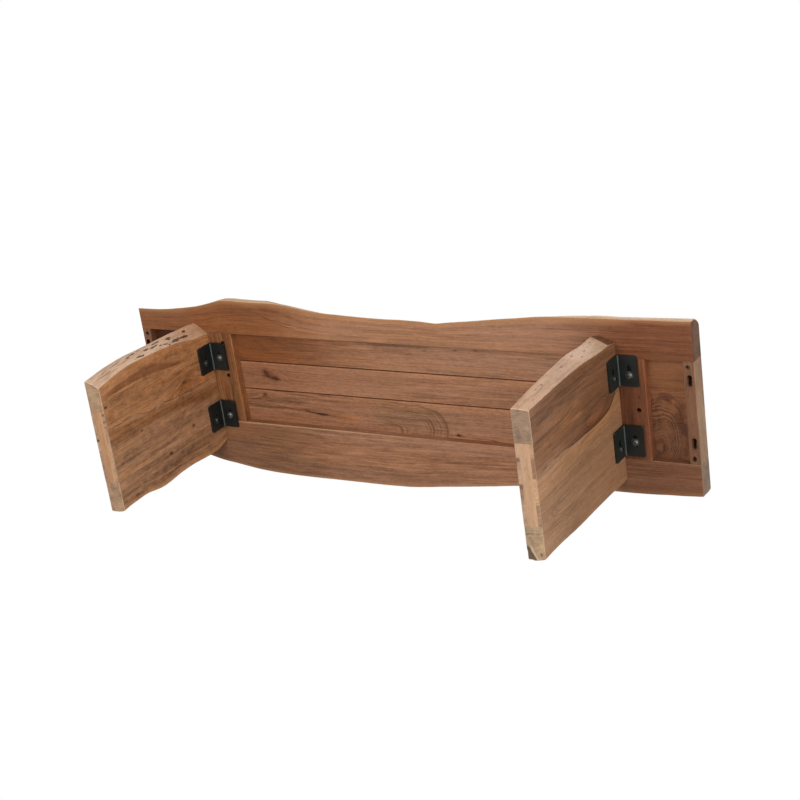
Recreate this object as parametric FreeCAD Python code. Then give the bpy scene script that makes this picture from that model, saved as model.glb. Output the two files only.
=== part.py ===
import FreeCAD, Part
import math
import os

os.makedirs("parts", exist_ok=True)
V = FreeCAD.Vector

# ----------------------------------------------------------------------------
# Driving dimensions, millimetres.  +X along the bench, +Y to the rear, +Z up.
# ----------------------------------------------------------------------------
seat_length = 1480.0          # over the two end rails
seat_thick = 44.5             # live-edge boards and end rails
leg_height = 412.5            # floor to the underside of the seat
recess_depth = 20.5           # underside down to the planks
opening_half = 117.0          # half the width between the live-edge boards
plank_seams = (-40.0, 33.3)   # the two seams, from the middle of the opening
plank_ease = 1.1              # each plank's half of the groove along a seam, across
plank_groove = 3.2            # depth of that groove, on the underside
rail_ease = 1.8               # rounded lower edges of the rails
end_rail_wide = 25.0
leg_rail_wide = 175.0
left_rail_right = -460.2      # right-hand edge of the left leg rail
right_rail_right = 628.4      # right-hand edge of the right leg rail

leg_thick = 40.0
left_leg_x = -551.5           # mid-plane of the left leg
right_leg_x = 546.2           # mid-plane of the right leg
panel_thick = 8.0             # face panels of a leg
foot_rail_high = 60.0
head_rail_high = 85.0
left_core = (-68.0, 107.5)    # between the stiles of the left leg
right_core = (-91.0, 87.0)    # between the stiles of the right leg

bracket_leg = 52.0            # flange on the leg, from the outer corner
bracket_seat = 47.5           # flange under the seat, from the outer corner
bracket_wide = 70.0
bracket_thick = 5.0
bracket_bend = 3.0            # inside bend radius
slot_from_corner = 32.0       # slot in the leg flange
seat_slot_from_corner = 29.5  # slot in the seat flange
slot_long = 28.0
slot_wide = 9.0

bolt_r = 4.0
bolt_long = 20.0
head_r = 7.0
head_high = 4.4
socket_af = 5.0
socket_deep = 2.6
washer_r = 9.0
washer_thick = 1.6
insert_r = 6.0
insert_bore = 4.05
insert_long = 13.0
insert_sink = 4.0             # mouth of an insert below the surface

screw_hole_r = 4.7            # sunk hole of a rail screw
screw_sink = 14.0
screw_head_r = 3.5
screw_head_high = 2.6
screw_r = 2.0
screw_long = 26.0
dowel_r = 5.0
dowel_long = 60.0

# Natural edges.  Front edge of the seat at its underside: (x, y).
front_edge = [
    (-740.0, -172.3), (-682.0, -172.6), (-630.0, -175.9), (-577.0, -181.9),
    (-525.0, -191.4), (-473.0, -202.6), (-424.0, -203.1), (-376.0, -202.0),
    (-329.0, -202.3), (-283.0, -198.9), (-238.0, -191.3), (-193.0, -185.3),
    (-148.0, -182.6), (-104.0, -180.2), (-60.0, -178.3), (-16.0, -177.4),
    (27.0, -177.6), (69.0, -176.9), (111.0, -174.8), (132.0, -173.9),
    (153.0, -176.1), (195.0, -180.5), (236.0, -185.3), (277.0, -189.9),
    (317.0, -194.1), (357.0, -198.7), (396.0, -202.4), (434.0, -203.5),
    (472.0, -203.7), (510.0, -204.1), (547.0, -204.7), (583.0, -205.1),
    (620.0, -205.5), (655.0, -206.3), (691.0, -206.7), (740.0, -207.6)]
# Where the front edge stands nearly upright and then rounds over (1), and
# where it slopes straight back (0).
front_full = [
    (-740.0, 0.0), (-560.0, 0.0), (-500.0, 0.7), (-470.0, 1.0), (-350.0, 1.0),
    (-310.0, 0.2), (-270.0, 0.0), (390.0, 0.0), (450.0, 0.6), (520.0, 1.0),
    (740.0, 1.0)]
# Rear edge of the seat at its underside: (x, y).
rear_edge = [
    (-740.0, 201.0), (-690.0, 205.5), (-640.0, 213.0), (-600.0, 221.0),
    (-568.0, 228.7), (-518.0, 236.4), (-469.0, 243.2), (-420.0, 248.5),
    (-371.0, 250.6), (-322.0, 251.9), (-274.0, 252.0), (-226.0, 251.3),
    (-179.0, 250.9), (-133.0, 250.8), (-87.0, 250.6), (-41.0, 249.7),
    (4.0, 248.2), (49.0, 243.6), (93.0, 238.2), (137.0, 233.2),
    (180.0, 228.0), (223.0, 223.1), (265.0, 217.7), (310.0, 212.6),
    (360.0, 208.2), (420.0, 204.6), (480.0, 202.2), (545.0, 200.9),
    (583.0, 200.4), (621.0, 198.8), (658.0, 196.8), (695.0, 194.6),
    (740.0, 191.4)]
rear_full = [
    (-740.0, 0.0), (200.0, 0.0), (420.0, 0.3), (600.0, 0.9), (740.0, 1.0)]

# Natural edges of the legs: (height, y) on the face towards +X (near) and on
# the face towards -X (far).
left_front_near = [(0.0, -128.5), (50.0, -137.0), (104.0, -143.6), (155.0, -142.8),
                   (203.0, -140.5), (250.0, -137.4), (290.0, -133.0), (325.0, -126.4),
                   (353.0, -120.0), (380.0, -117.6), (397.0, -116.6), (412.5, -113.0)]
left_front_far = [(0.0, -143.0), (30.0, -146.2), (59.0, -149.8), (89.0, -151.7),
                  (148.0, -152.6), (177.0, -151.4), (220.0, -149.8), (265.0, -148.6),
                  (310.0, -147.4), (350.0, -145.4), (385.0, -143.4), (412.5, -140.8)]
left_rear_near = [(0.0, 180.5), (27.0, 177.2), (57.0, 176.0), (88.0, 175.4),
                  (117.0, 179.8), (147.0, 183.8), (179.0, 183.1), (212.0, 179.9),
                  (244.0, 178.6), (277.0, 178.6), (310.0, 181.2), (336.0, 182.8),
                  (360.0, 183.2), (388.0, 179.5), (412.5, 171.8)]
left_rear_far = [(h, y + 4.0) for (h, y) in left_rear_near]
right_front_near = [(0.0, -162.0), (50.0, -163.6), (94.0, -164.7), (140.0, -165.8),
                    (176.0, -166.2), (220.0, -165.8), (260.0, -164.2), (297.0, -160.8),
                    (328.0, -158.4), (360.0, -157.3), (376.0, -156.8), (394.0, -154.0),
                    (412.5, -150.6)]
right_front_far = [(0.0, -164.0), (35.0, -167.6), (67.0, -170.5), (120.0, -174.2),
                   (180.0, -177.3), (215.0, -179.0), (246.0, -180.0), (280.0, -177.8),
                   (313.0, -175.2), (350.0, -174.6), (383.0, -174.0), (398.0, -170.2),
                   (412.5, -165.8)]
right_rear_near = [(0.0, 158.6), (48.0, 158.0), (86.0, 158.8), (124.0, 161.0),
                   (164.0, 162.5), (204.0, 163.0), (245.0, 163.1), (286.0, 163.8),
                   (329.0, 164.6), (372.0, 167.2), (412.5, 166.4)]
right_rear_far = [(h, y + 6.0) for (h, y) in right_rear_near]

# Middle of each bracket along Y, and how far its bolts sit from the middle of
# their slots (seat bolt, leg bolt).
left_brackets = {"front": (-55.5, 2.0, 8.0), "rear": (97.5, 2.0, 7.5)}
right_brackets = {"front": (-90.0, 8.5, 9.0), "rear": (72.5, 1.0, 9.0)}
left_screw_y = (-91.7, -5.5, 78.0)
right_screw_y = (-100.0, 0.4, 100.0)
rail_screw_out = 42.4          # rail screws, out from the face of the leg

under = leg_height
top = leg_height + seat_thick
plank_z = under + recess_depth
half_len = seat_length / 2.0


# ----------------------------------------------------------------------------
# Helpers
# ----------------------------------------------------------------------------
def lerp_table(table, x):
    if x <= table[0][0]:
        return table[0][1]
    for (x0, y0), (x1, y1) in zip(table, table[1:]):
        if x <= x1:
            return y0 + (y1 - y0) * (x - x0) / (x1 - x0)
    return table[-1][1]


def box(x0, x1, y0, y1, z0, z1):
    return Part.makeBox(x1 - x0, y1 - y0, z1 - z0, V(x0, y0, z0))


def cyl(r, length, base, axis):
    return Part.makeCylinder(r, length, base, axis)


def curve_edge(points, params):
    c = Part.BSplineCurve()
    c.interpolate(Points=points, Parameters=params)
    return c.toShape()


def level_wire(points, params, corner_a, corner_b):
    """Closed wire: the natural edge, then two square corners."""
    e0 = curve_edge(points, params)
    e1 = Part.makeLine(points[-1], corner_b)
    e2 = Part.makeLine(corner_b, corner_a)
    e3 = Part.makeLine(corner_a, points[0])
    return Part.Wire([e0, e1, e2, e3])


def seat_board(edge, full, side):
    """Live-edge board: four levels of its natural edge joined up the height."""
    inner = side * opening_half
    params = [(x + half_len) / seat_length for x, _ in edge]
    if side < 0:
        # how far the edge has come back (+) at each level, sloping / upright
        levels = [(0.0, 0.0, 0.0), (17.0, 7.6, 1.6), (32.0, 14.2, 8.6), (seat_thick, 21.5, 19.0)]
    else:
        # (-) comes back, (+) stands out
        levels = [(0.0, 0.0, 0.0), (17.0, -1.0, 5.0), (32.0, -4.5, 9.0), (seat_thick, -12.0, 6.5)]
    wires = []
    for lift, sloping, upright in levels:
        pts = []
        for x, y in edge:
            k = lerp_table(full, x)
            off = sloping + (upright - sloping) * k
            yy = y + off
            pts.append(V(x, yy, under + lift))
        a = V(-half_len, inner, under + lift)
        b = V(half_len, inner, under + lift)
        wires.append(level_wire(pts, params, a, b))
    return Part.makeLoft(wires, True, True)


def stile(near, far, x_mid, inner_y):
    """Leg stile with a natural edge that differs on its two faces."""
    xs = (x_mid - leg_thick / 2.0, x_mid + leg_thick / 2.0)
    wires = []
    for x, prof in zip(xs, (far, near)):
        params = [h / leg_height for h, _ in prof]
        pts = [V(x, y, h) for h, y in prof]
        a = V(x, inner_y, 0.0)
        b = V(x, inner_y, leg_height)
        wires.append(level_wire(pts, params, a, b))
    return Part.makeLoft(wires, True, True)


def slot_cut(cx, cy, length, width, z0, depth):
    """Slot running along Y, cut upward from z0."""
    r = width / 2.0
    half = length / 2.0 - r
    s = box(cx - r, cx + r, cy - half, cy + half, z0, z0 + depth)
    s = s.fuse(cyl(r, depth, V(cx, cy - half, z0), V(0, 0, 1)))
    s = s.fuse(cyl(r, depth, V(cx, cy + half, z0), V(0, 0, 1)))
    return s.removeSplitter()


def bracket(face_x, side, cy):
    """Bent angle in the corner between a leg face and the seat's underside."""
    t, r, leg, seat = bracket_thick, bracket_bend, bracket_leg, bracket_seat
    big = t + r
    c45 = math.sqrt(0.5)

    def p(a, d):
        return V(face_x + side * a, cy - bracket_wide / 2.0, under - d)

    outline = Part.Wire([
        Part.makeLine(p(big, 0), p(seat, 0)),
        Part.makeLine(p(seat, 0), p(seat, t)),
        Part.makeLine(p(seat, t), p(t + r, t)),
        Part.Arc(p(t + r, t), p(t + r - r * c45, t + r - r * c45), p(t, t + r)).toShape(),
        Part.makeLine(p(t, t + r), p(t, leg)),
        Part.makeLine(p(t, leg), p(0, leg)),
        Part.makeLine(p(0, leg), p(0, big)),
        Part.Arc(p(0, big), p(big - big * c45, big - big * c45), p(big, 0)).toShape()])
    body = Part.Face(outline).extrude(V(0, bracket_wide, 0))
    # rounded free corners of both flanges
    corner_r = 2.5
    picked = []
    for e in body.Edges:
        if len(e.Vertexes) != 2:
            continue
        a, b = e.Vertexes[0].Point, e.Vertexes[1].Point
        if abs(e.Length - t) > 1e-6:
            continue
        along_z = abs(a.x - b.x) < 1e-6 and abs(a.y - b.y) < 1e-6
        along_x = abs(a.z - b.z) < 1e-6 and abs(a.y - b.y) < 1e-6
        if along_z and abs(abs(a.x - face_x) - seat) < 1e-6:
            picked.append(e)
        if along_x and abs(under - a.z - leg) < 1e-6:
            picked.append(e)
    body = body.makeFillet(corner_r, picked)
    # seat flange slot
    body = body.cut(slot_cut(face_x + side * seat_slot_from_corner, cy, slot_long, slot_wide,
                             under - t - 1.0, t + 2.0))
    # leg flange slot
    half = slot_long / 2.0 - slot_wide / 2.0
    zc = under - slot_from_corner
    x0 = face_x - side * 1.0
    xa, xb = sorted((x0, face_x + side * (t + 1.0)))
    s = box(xa, xb, cy - half, cy + half, zc - slot_wide / 2.0, zc + slot_wide / 2.0)
    for dy in (-half, half):
        s = s.fuse(cyl(slot_wide / 2.0, xb - xa, V(xa, cy + dy, zc), V(1, 0, 0)))
    return body.cut(s.removeSplitter())


def bolt(seat_point, axis):
    """Button-head bolt: seat_point is under the head, axis points into the thread."""
    rim = 0.8
    flat_r = 3.8
    prof = [Part.makeLine(V(0, 0, bolt_long), V(bolt_r - 0.8, 0, bolt_long)),
            Part.makeLine(V(bolt_r - 0.8, 0, bolt_long), V(bolt_r, 0, bolt_long - 0.8)),
            Part.makeLine(V(bolt_r, 0, bolt_long - 0.8), V(bolt_r, 0, 0)),
            Part.makeLine(V(bolt_r, 0, 0), V(head_r, 0, 0)),
            Part.makeLine(V(head_r, 0, 0), V(head_r, 0, -rim)),
            Part.Arc(V(head_r, 0, -rim), V(5.85, 0, -3.1), V(flat_r, 0, -head_high)).toShape(),
            Part.makeLine(V(flat_r, 0, -head_high), V(0, 0, -head_high)),
            Part.makeLine(V(0, 0, -head_high), V(0, 0, bolt_long))]
    body = Part.Face(Part.Wire(prof)).revolve(V(0, 0, 0), V(0, 0, 1), 360)
    body = Part.Solid(body.Shells[0]) if body.ShapeType != "Solid" else body
    rr = socket_af / math.sqrt(3.0)
    hexa = Part.makePolygon([V(rr * math.cos(math.radians(60 * i)), rr * math.sin(math.radians(60 * i)),
                               -head_high - 0.5) for i in range(7)])
    body = body.cut(Part.Face(hexa).extrude(V(0, 0, socket_deep + 0.5)))
    return place(body, seat_point, axis)


def washer(seat_point, axis):
    """Washer under a bolt head: seat_point is its face under the head."""
    w = cyl(washer_r, washer_thick, V(0, 0, 0), V(0, 0, 1)).cut(
        cyl(bolt_r + 0.2, washer_thick + 2, V(0, 0, -1), V(0, 0, 1)))
    return place(w, seat_point, axis)


def insert(mouth, axis):
    s = cyl(insert_r, insert_long, V(0, 0, 0), V(0, 0, 1)).cut(
        cyl(insert_bore, insert_long + 2, V(0, 0, -1), V(0, 0, 1)))
    return place(s, mouth, axis)


def wood_screw(head_base, axis, length):
    """Pan-head screw: head_base is under the head, axis points to the tip."""
    s = cyl(screw_r, length - 4.0, V(0, 0, 0), V(0, 0, 1))
    s = s.fuse(Part.makeCone(screw_r, 0.4, 4.0, V(0, 0, length - 4.0), V(0, 0, 1)))
    s = s.fuse(cyl(screw_head_r, screw_head_high, V(0, 0, -screw_head_high), V(0, 0, 1)))
    s = s.cut(box(-2.2, 2.2, -0.5, 0.5, -screw_head_high - 1, -screw_head_high + 1.1))
    s = s.cut(box(-0.5, 0.5, -2.2, 2.2, -screw_head_high - 1, -screw_head_high + 1.1))
    return place(s.removeSplitter(), head_base, axis)


def screw_bore(head_base, axis, length, sink):
    """Hole for a wood screw, with its sunk mouth."""
    s = cyl(screw_r, length - 4.0, V(0, 0, 0), V(0, 0, 1))
    s = s.fuse(Part.makeCone(screw_r, 0.4, 4.0, V(0, 0, length - 4.0), V(0, 0, 1)))
    s = s.fuse(cyl(screw_hole_r, sink + 8.0, V(0, 0, -sink - 8.0), V(0, 0, 1)))
    return place(s, head_base, axis)


def place(shape, point, axis):
    rot = FreeCAD.Rotation(V(0, 0, 1), axis)
    out = shape.copy()
    out.Placement = FreeCAD.Placement(point, rot).multiply(out.Placement)
    return out


nodes = {}

# ----------------------------------------------------------------------------
# Seat
# ----------------------------------------------------------------------------
front_board = seat_board(front_edge, front_full, -1)
rear_board = seat_board(rear_edge, rear_full, 1)

xin = half_len - end_rail_wide
cuts = [-opening_half, plank_seams[0], plank_seams[1], opening_half]
plank_names = ("front_seat_plank", "middle_seat_plank", "rear_seat_plank")
planks = {}
for i, name in enumerate(plank_names):
    y0, y1 = cuts[i], cuts[i + 1]
    e, g = plank_ease, plank_groove
    prof = []
    if i > 0:
        prof += [V(-xin, y0, plank_z + g), V(-xin, y0 + e, plank_z)]
    else:
        prof += [V(-xin, y0, plank_z)]
    if i < 2:
        prof += [V(-xin, y1 - e, plank_z), V(-xin, y1, plank_z + g)]
    else:
        prof += [V(-xin, y1, plank_z)]
    prof += [V(-xin, y1, top), V(-xin, y0, top)]
    planks[name] = Part.Face(Part.makePolygon(prof + [prof[0]])).extrude(V(2 * xin, 0, 0))

rails = {
    "left_leg_rail": box(left_rail_right - leg_rail_wide, left_rail_right,
                         -opening_half, opening_half, under, plank_z),
    "right_leg_rail": box(right_rail_right - leg_rail_wide, right_rail_right,
                          -opening_half, opening_half, under, plank_z)}

end_rails = {
    "left_end_rail": box(-half_len, -xin, -opening_half, opening_half, under, top),
    "right_end_rail": box(xin, half_len, -opening_half, opening_half, under, top)}



def ease(shape, zs, xs, r):
    """Round the edges that run along Y at the given heights and x positions."""
    picked = []
    for e in shape.Edges:
        a, b = e.Vertexes[0].Point, e.Vertexes[-1].Point
        if abs(a.x - b.x) < 1e-6 and abs(a.z - b.z) < 1e-6 and \
                any(abs(a.z - z) < 1e-6 for z in zs) and any(abs(a.x - x) < 1e-6 for x in xs):
            picked.append(e)
    return shape.makeFillet(r, picked)


for name, xr in (("left_leg_rail", left_rail_right), ("right_leg_rail", right_rail_right)):
    rails[name] = ease(rails[name], (under,), (xr, xr - leg_rail_wide), rail_ease)
end_rails["left_end_rail"] = ease(ease(end_rails["left_end_rail"], (under,), (-half_len, -xin), rail_ease),
                                  (top,), (-half_len,), rail_ease)
end_rails["right_end_rail"] = ease(ease(end_rails["right_end_rail"], (under,), (half_len, xin), rail_ease),
                                   (top,), (half_len,), rail_ease)

# keyhole slots in the underside of each end rail
for name, cx in (("left_end_rail", -half_len + 11.5), ("right_end_rail", half_len - 11.5)):
    for y0 in (-87.5, 55.5):
        key = cyl(5.6, 20.0, V(cx, y0 + 5.6, under - 2.0), V(0, 0, 1))
        key = key.fuse(slot_cut(cx, y0 + 13.5, 23.0, 8.2, under - 2.0, 20.0))
        end_rails[name] = end_rails[name].cut(key.removeSplitter())

# angled screws from the end rails into the live-edge boards
end_screws = []
tilt = math.radians(45.0)
for name, sx in (("left_end_rail", -1), ("right_end_rail", 1)):
    for sy in (-1, 1):
        axis = V(0, sy * math.cos(tilt), math.sin(tilt))
        head = V(sx * (half_len - 14.0), sy * 103.0, under) + axis * 10.0
        end_screws.append(wood_screw(head, axis, screw_long))
        hole = screw_bore(head, axis, screw_long, 10.0)
        end_rails[name] = end_rails[name].cut(hole)
        if sy < 0:
            front_board = front_board.cut(hole)
        else:
            rear_board = rear_board.cut(hole)
nodes["end_rail_screws"] = Part.makeCompound(end_screws)

# screws up through the leg rails into the planks
rail_screws = []
for name, leg_x, ys in (("left_leg_rail", left_leg_x, left_screw_y),
                        ("right_leg_rail", right_leg_x, right_screw_y)):
    for side in (-1, 1):
        x = leg_x + side * (leg_thick / 2.0 + rail_screw_out)
        for y in ys:
            head = V(x, y, under + screw_sink)
            rail_screws.append(wood_screw(head, V(0, 0, 1), screw_long))
            hole = screw_bore(head, V(0, 0, 1), screw_long, screw_sink)
            rails[name] = rails[name].cut(hole)
            for pn in plank_names:
                bb = planks[pn].BoundBox
                if bb.YMin - 3 < y < bb.YMax + 3:
                    planks[pn] = planks[pn].cut(hole)
nodes["leg_rail_screws"] = Part.makeCompound(rail_screws)

# dowels between the leg rails and the live-edge boards
dowels = []
for name, leg_x in (("left_leg_rail", left_leg_x), ("right_leg_rail", right_leg_x)):
    for dx in (-25.0, 25.0):
        for sy in (-1, 1):
            base = V(leg_x + dx, sy * opening_half - dowel_long / 2.0, under + recess_depth / 2.0)
            pin = cyl(dowel_r, dowel_long, base, V(0, 1, 0))
            dowels.append(pin)
            rails[name] = rails[name].cut(pin)
            if sy < 0:
                front_board = front_board.cut(pin)
            else:
                rear_board = rear_board.cut(pin)
nodes["leg_rail_dowels"] = Part.makeCompound(dowels)

# ----------------------------------------------------------------------------
# Legs: two live-edge stiles, two face panels, a foot rail and a head rail
# ----------------------------------------------------------------------------
legs = {}
for leg, x_mid, core, fn, ff, rn, rf in (
        ("left", left_leg_x, left_core, left_front_near, left_front_far, left_rear_near, left_rear_far),
        ("right", right_leg_x, right_core, right_front_near, right_front_far, right_rear_near, right_rear_far)):
    xa, xb = x_mid - leg_thick / 2.0, x_mid + leg_thick / 2.0
    legs[leg + "_leg_front_stile"] = stile(fn, ff, x_mid, core[0])
    legs[leg + "_leg_rear_stile"] = stile(rn, rf, x_mid, core[1])
    minus = box(xa, xa + panel_thick, core[0], core[1], 0, leg_height)
    plus = box(xb - panel_thick, xb, core[0], core[1], 0, leg_height)
    inner_is_plus = leg == "left"
    legs[leg + "_leg_inner_panel"] = plus if inner_is_plus else minus
    legs[leg + "_leg_outer_panel"] = minus if inner_is_plus else plus
    legs[leg + "_leg_foot_rail"] = box(xa + panel_thick, xb - panel_thick, core[0], core[1], 0, foot_rail_high)
    legs[leg + "_leg_head_rail"] = box(xa + panel_thick, xb - panel_thick, core[0], core[1],
                                       leg_height - head_rail_high, leg_height)

# ----------------------------------------------------------------------------
# Brackets, bolts, washers and threaded inserts
# ----------------------------------------------------------------------------
groups = {k: [] for k in ("seat_bolts", "leg_bolts", "seat_bolt_washers", "leg_bolt_washers",
                          "seat_threaded_inserts", "leg_threaded_inserts")}
for leg, x_mid, spots in (("left", left_leg_x, left_brackets), ("right", right_leg_x, right_brackets)):
    for side in (-1, 1):
        where = "inner" if (leg == "left") == (side > 0) else "outer"
        face = x_mid + side * leg_thick / 2.0
        for end, (cy, d_seat, d_leg) in spots.items():
            nodes["%s_%s_%s_bracket" % (leg, where, end)] = bracket(face, side, cy)
            # seat bolt
            sx = face + side * seat_slot_from_corner
            sy = cy + d_seat
            z_head = under - bracket_thick - washer_thick
            up = V(0, 0, 1)
            groups["seat_bolts"].append(bolt(V(sx, sy, z_head), up))
            groups["seat_bolt_washers"].append(washer(V(sx, sy, z_head), up))
            groups["seat_threaded_inserts"].append(insert(V(sx, sy, under + insert_sink), up))
            hole = cyl(insert_r, insert_sink + insert_long, V(sx, sy, under), up)
            rails[leg + "_leg_rail"] = rails[leg + "_leg_rail"].cut(hole)
            # leg bolt
            ly = cy + d_leg
            lz = under - slot_from_corner
            into = V(-side, 0, 0)
            x_head = face + side * (bracket_thick + washer_thick)
            groups["leg_bolts"].append(bolt(V(x_head, ly, lz), into))
            groups["leg_bolt_washers"].append(washer(V(x_head, ly, lz), into))
            groups["leg_threaded_inserts"].append(insert(V(face, ly, lz) + into * insert_sink, into))
            hole = cyl(insert_r, insert_sink + insert_long, V(face, ly, lz), into)
            for n in (leg + "_leg_inner_panel", leg + "_leg_outer_panel", leg + "_leg_head_rail"):
                legs[n] = legs[n].cut(hole)
for k, solids in groups.items():
    nodes[k] = Part.makeCompound(solids)

nodes["front_live_edge_board"] = front_board
nodes["rear_live_edge_board"] = rear_board
nodes.update(planks)
nodes.update(rails)
nodes.update(end_rails)
nodes.update(legs)

# ----------------------------------------------------------------------------
# Origin: on the floor, under the middle of the bench's box
# ----------------------------------------------------------------------------
whole = Part.makeCompound(list(nodes.values()))
bb = whole.optimalBoundingBox(False, False)
shift = V(-(bb.XMin + bb.XMax) / 2.0, -(bb.YMin + bb.YMax) / 2.0, -bb.ZMin)
print("box", round(bb.XLength, 2), round(bb.YLength, 2), round(bb.ZLength, 2), "shift", shift)

for name, shape in sorted(nodes.items()):
    s = shape.copy()
    s.translate(shift)
    solids = s.Solids
    ok = all(x.isValid() and x.Volume > 0 for x in solids)
    print("%-28s solids %2d volume %12.1f valid %s" % (name, len(solids), s.Volume, ok))
    if len(solids) == 1:
        solids[0].exportStep("parts/%s.step" % name)
    else:
        Part.makeCompound(solids).exportStep("parts/%s.step" % name)
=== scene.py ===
import math

import bmesh
import bpy
import numpy as np
from mathutils import Matrix, Vector


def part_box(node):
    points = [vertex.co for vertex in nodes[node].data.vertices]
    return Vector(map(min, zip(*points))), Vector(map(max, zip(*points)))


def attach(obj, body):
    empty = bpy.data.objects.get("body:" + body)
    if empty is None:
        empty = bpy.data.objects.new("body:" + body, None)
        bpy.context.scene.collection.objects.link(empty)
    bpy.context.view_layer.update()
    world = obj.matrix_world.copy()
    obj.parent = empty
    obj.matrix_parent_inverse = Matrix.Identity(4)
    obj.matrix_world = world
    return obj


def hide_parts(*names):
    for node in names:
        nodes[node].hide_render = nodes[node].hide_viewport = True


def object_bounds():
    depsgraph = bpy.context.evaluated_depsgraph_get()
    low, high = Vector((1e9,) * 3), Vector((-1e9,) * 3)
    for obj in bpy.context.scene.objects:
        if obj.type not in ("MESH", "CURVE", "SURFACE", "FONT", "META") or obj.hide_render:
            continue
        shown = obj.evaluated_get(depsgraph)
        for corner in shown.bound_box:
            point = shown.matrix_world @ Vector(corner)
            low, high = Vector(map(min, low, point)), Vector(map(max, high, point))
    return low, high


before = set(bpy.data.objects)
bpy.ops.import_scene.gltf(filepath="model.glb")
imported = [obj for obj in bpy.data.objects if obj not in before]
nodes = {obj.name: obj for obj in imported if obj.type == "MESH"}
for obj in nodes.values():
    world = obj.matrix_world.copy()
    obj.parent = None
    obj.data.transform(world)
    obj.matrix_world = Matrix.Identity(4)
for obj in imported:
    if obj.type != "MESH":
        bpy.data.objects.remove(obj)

cad_lo, cad_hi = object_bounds()

# ----------------------------------------------------------------------------
# Frame numbers.  Tables and marks below are in millimetres; everything that
# reaches a mesh is in metres.  y is counted from the middle of the opening
# between the two live-edge boards, w from the seat's underside towards the
# feet.
# ----------------------------------------------------------------------------
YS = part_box("front_seat_plank")[0].y + 0.117
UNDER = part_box("left_leg_rail")[0].z
TOP = cad_hi.z
HALF = cad_hi.x


def Y(y_mm):
    return y_mm * 0.001 + YS


def Z(w_mm):
    return UNDER - w_mm * 0.001


FRONT_EDGE = [
    (-740.0, -172.3), (-682.0, -172.6), (-630.0, -175.9), (-577.0, -181.9),
    (-525.0, -191.4), (-473.0, -202.6), (-424.0, -203.1), (-376.0, -202.0),
    (-329.0, -202.3), (-283.0, -198.9), (-238.0, -191.3), (-193.0, -185.3),
    (-148.0, -182.6), (-104.0, -180.2), (-60.0, -178.3), (-16.0, -177.4),
    (27.0, -177.6), (69.0, -176.9), (111.0, -174.8), (132.0, -173.9),
    (153.0, -176.1), (195.0, -180.5), (236.0, -185.3), (277.0, -189.9),
    (317.0, -194.1), (357.0, -198.7), (396.0, -202.4), (434.0, -203.5),
    (472.0, -203.7), (510.0, -204.1), (547.0, -204.7), (583.0, -205.1),
    (620.0, -205.5), (655.0, -206.3), (691.0, -206.7), (740.0, -207.6)]
FRONT_FULL = [
    (-740.0, 0.0), (-560.0, 0.0), (-500.0, 0.7), (-470.0, 1.0), (-350.0, 1.0),
    (-310.0, 0.2), (-270.0, 0.0), (390.0, 0.0), (450.0, 0.6), (520.0, 1.0),
    (740.0, 1.0)]
REAR_EDGE = [
    (-740.0, 201.0), (-690.0, 205.5), (-640.0, 213.0), (-600.0, 221.0),
    (-568.0, 228.7), (-518.0, 236.4), (-469.0, 243.2), (-420.0, 248.5),
    (-371.0, 250.6), (-322.0, 251.9), (-274.0, 252.0), (-226.0, 251.3),
    (-179.0, 250.9), (-133.0, 250.8), (-87.0, 250.6), (-41.0, 249.7),
    (4.0, 248.2), (49.0, 243.6), (93.0, 238.2), (137.0, 233.2),
    (180.0, 228.0), (223.0, 223.1), (265.0, 217.7), (310.0, 212.6),
    (360.0, 208.2), (420.0, 204.6), (480.0, 202.2), (545.0, 200.9),
    (583.0, 200.4), (621.0, 198.8), (658.0, 196.8), (695.0, 194.6),
    (740.0, 191.4)]
REAR_FULL = [(-740.0, 0.0), (200.0, 0.0), (420.0, 0.3), (600.0, 0.9), (740.0, 1.0)]
FRONT_LEVELS = [(0.0, 0.0, 0.0), (17.0, 7.6, 0.4), (32.0, 14.2, 6.8), (44.5, 21.5, 18.4)]
REAR_LEVELS = [(0.0, 0.0, 0.0), (17.0, -1.0, 1.0), (32.0, -4.5, 1.6), (44.5, -12.0, 0.4)]

LEFT_FRONT_NEAR = [(0.0, -128.5), (50.0, -137.0), (104.0, -143.6), (155.0, -142.8),
                   (203.0, -140.5), (250.0, -137.4), (290.0, -133.0), (325.0, -126.4),
                   (353.0, -120.0), (380.0, -117.6), (397.0, -116.6), (412.5, -113.0)]
LEFT_FRONT_FAR = [(0.0, -143.0), (30.0, -146.2), (59.0, -149.8), (89.0, -151.7),
                  (148.0, -152.6), (177.0, -151.4), (220.0, -149.8), (265.0, -148.6),
                  (310.0, -147.4), (350.0, -145.4), (385.0, -143.4), (412.5, -140.8)]
LEFT_REAR_NEAR = [(0.0, 180.5), (27.0, 177.2), (57.0, 176.0), (88.0, 175.4),
                  (117.0, 179.8), (147.0, 183.8), (179.0, 183.1), (212.0, 179.9),
                  (244.0, 178.6), (277.0, 178.6), (310.0, 181.2), (336.0, 182.8),
                  (360.0, 183.2), (388.0, 179.5), (412.5, 171.8)]
LEFT_REAR_FAR = [(h, y + 4.0) for (h, y) in LEFT_REAR_NEAR]
RIGHT_FRONT_NEAR = [(0.0, -162.0), (50.0, -163.6), (94.0, -164.7), (140.0, -165.8),
                    (176.0, -166.2), (220.0, -165.8), (260.0, -164.2), (297.0, -160.8),
                    (328.0, -158.4), (360.0, -157.3), (376.0, -156.8), (394.0, -154.0),
                    (412.5, -150.6)]
RIGHT_FRONT_FAR = [(0.0, -164.0), (35.0, -167.6), (67.0, -170.5), (120.0, -174.2),
                   (180.0, -177.3), (215.0, -179.0), (246.0, -180.0), (280.0, -177.8),
                   (313.0, -175.2), (350.0, -174.6), (383.0, -174.0), (398.0, -170.2),
                   (412.5, -165.8)]
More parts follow.
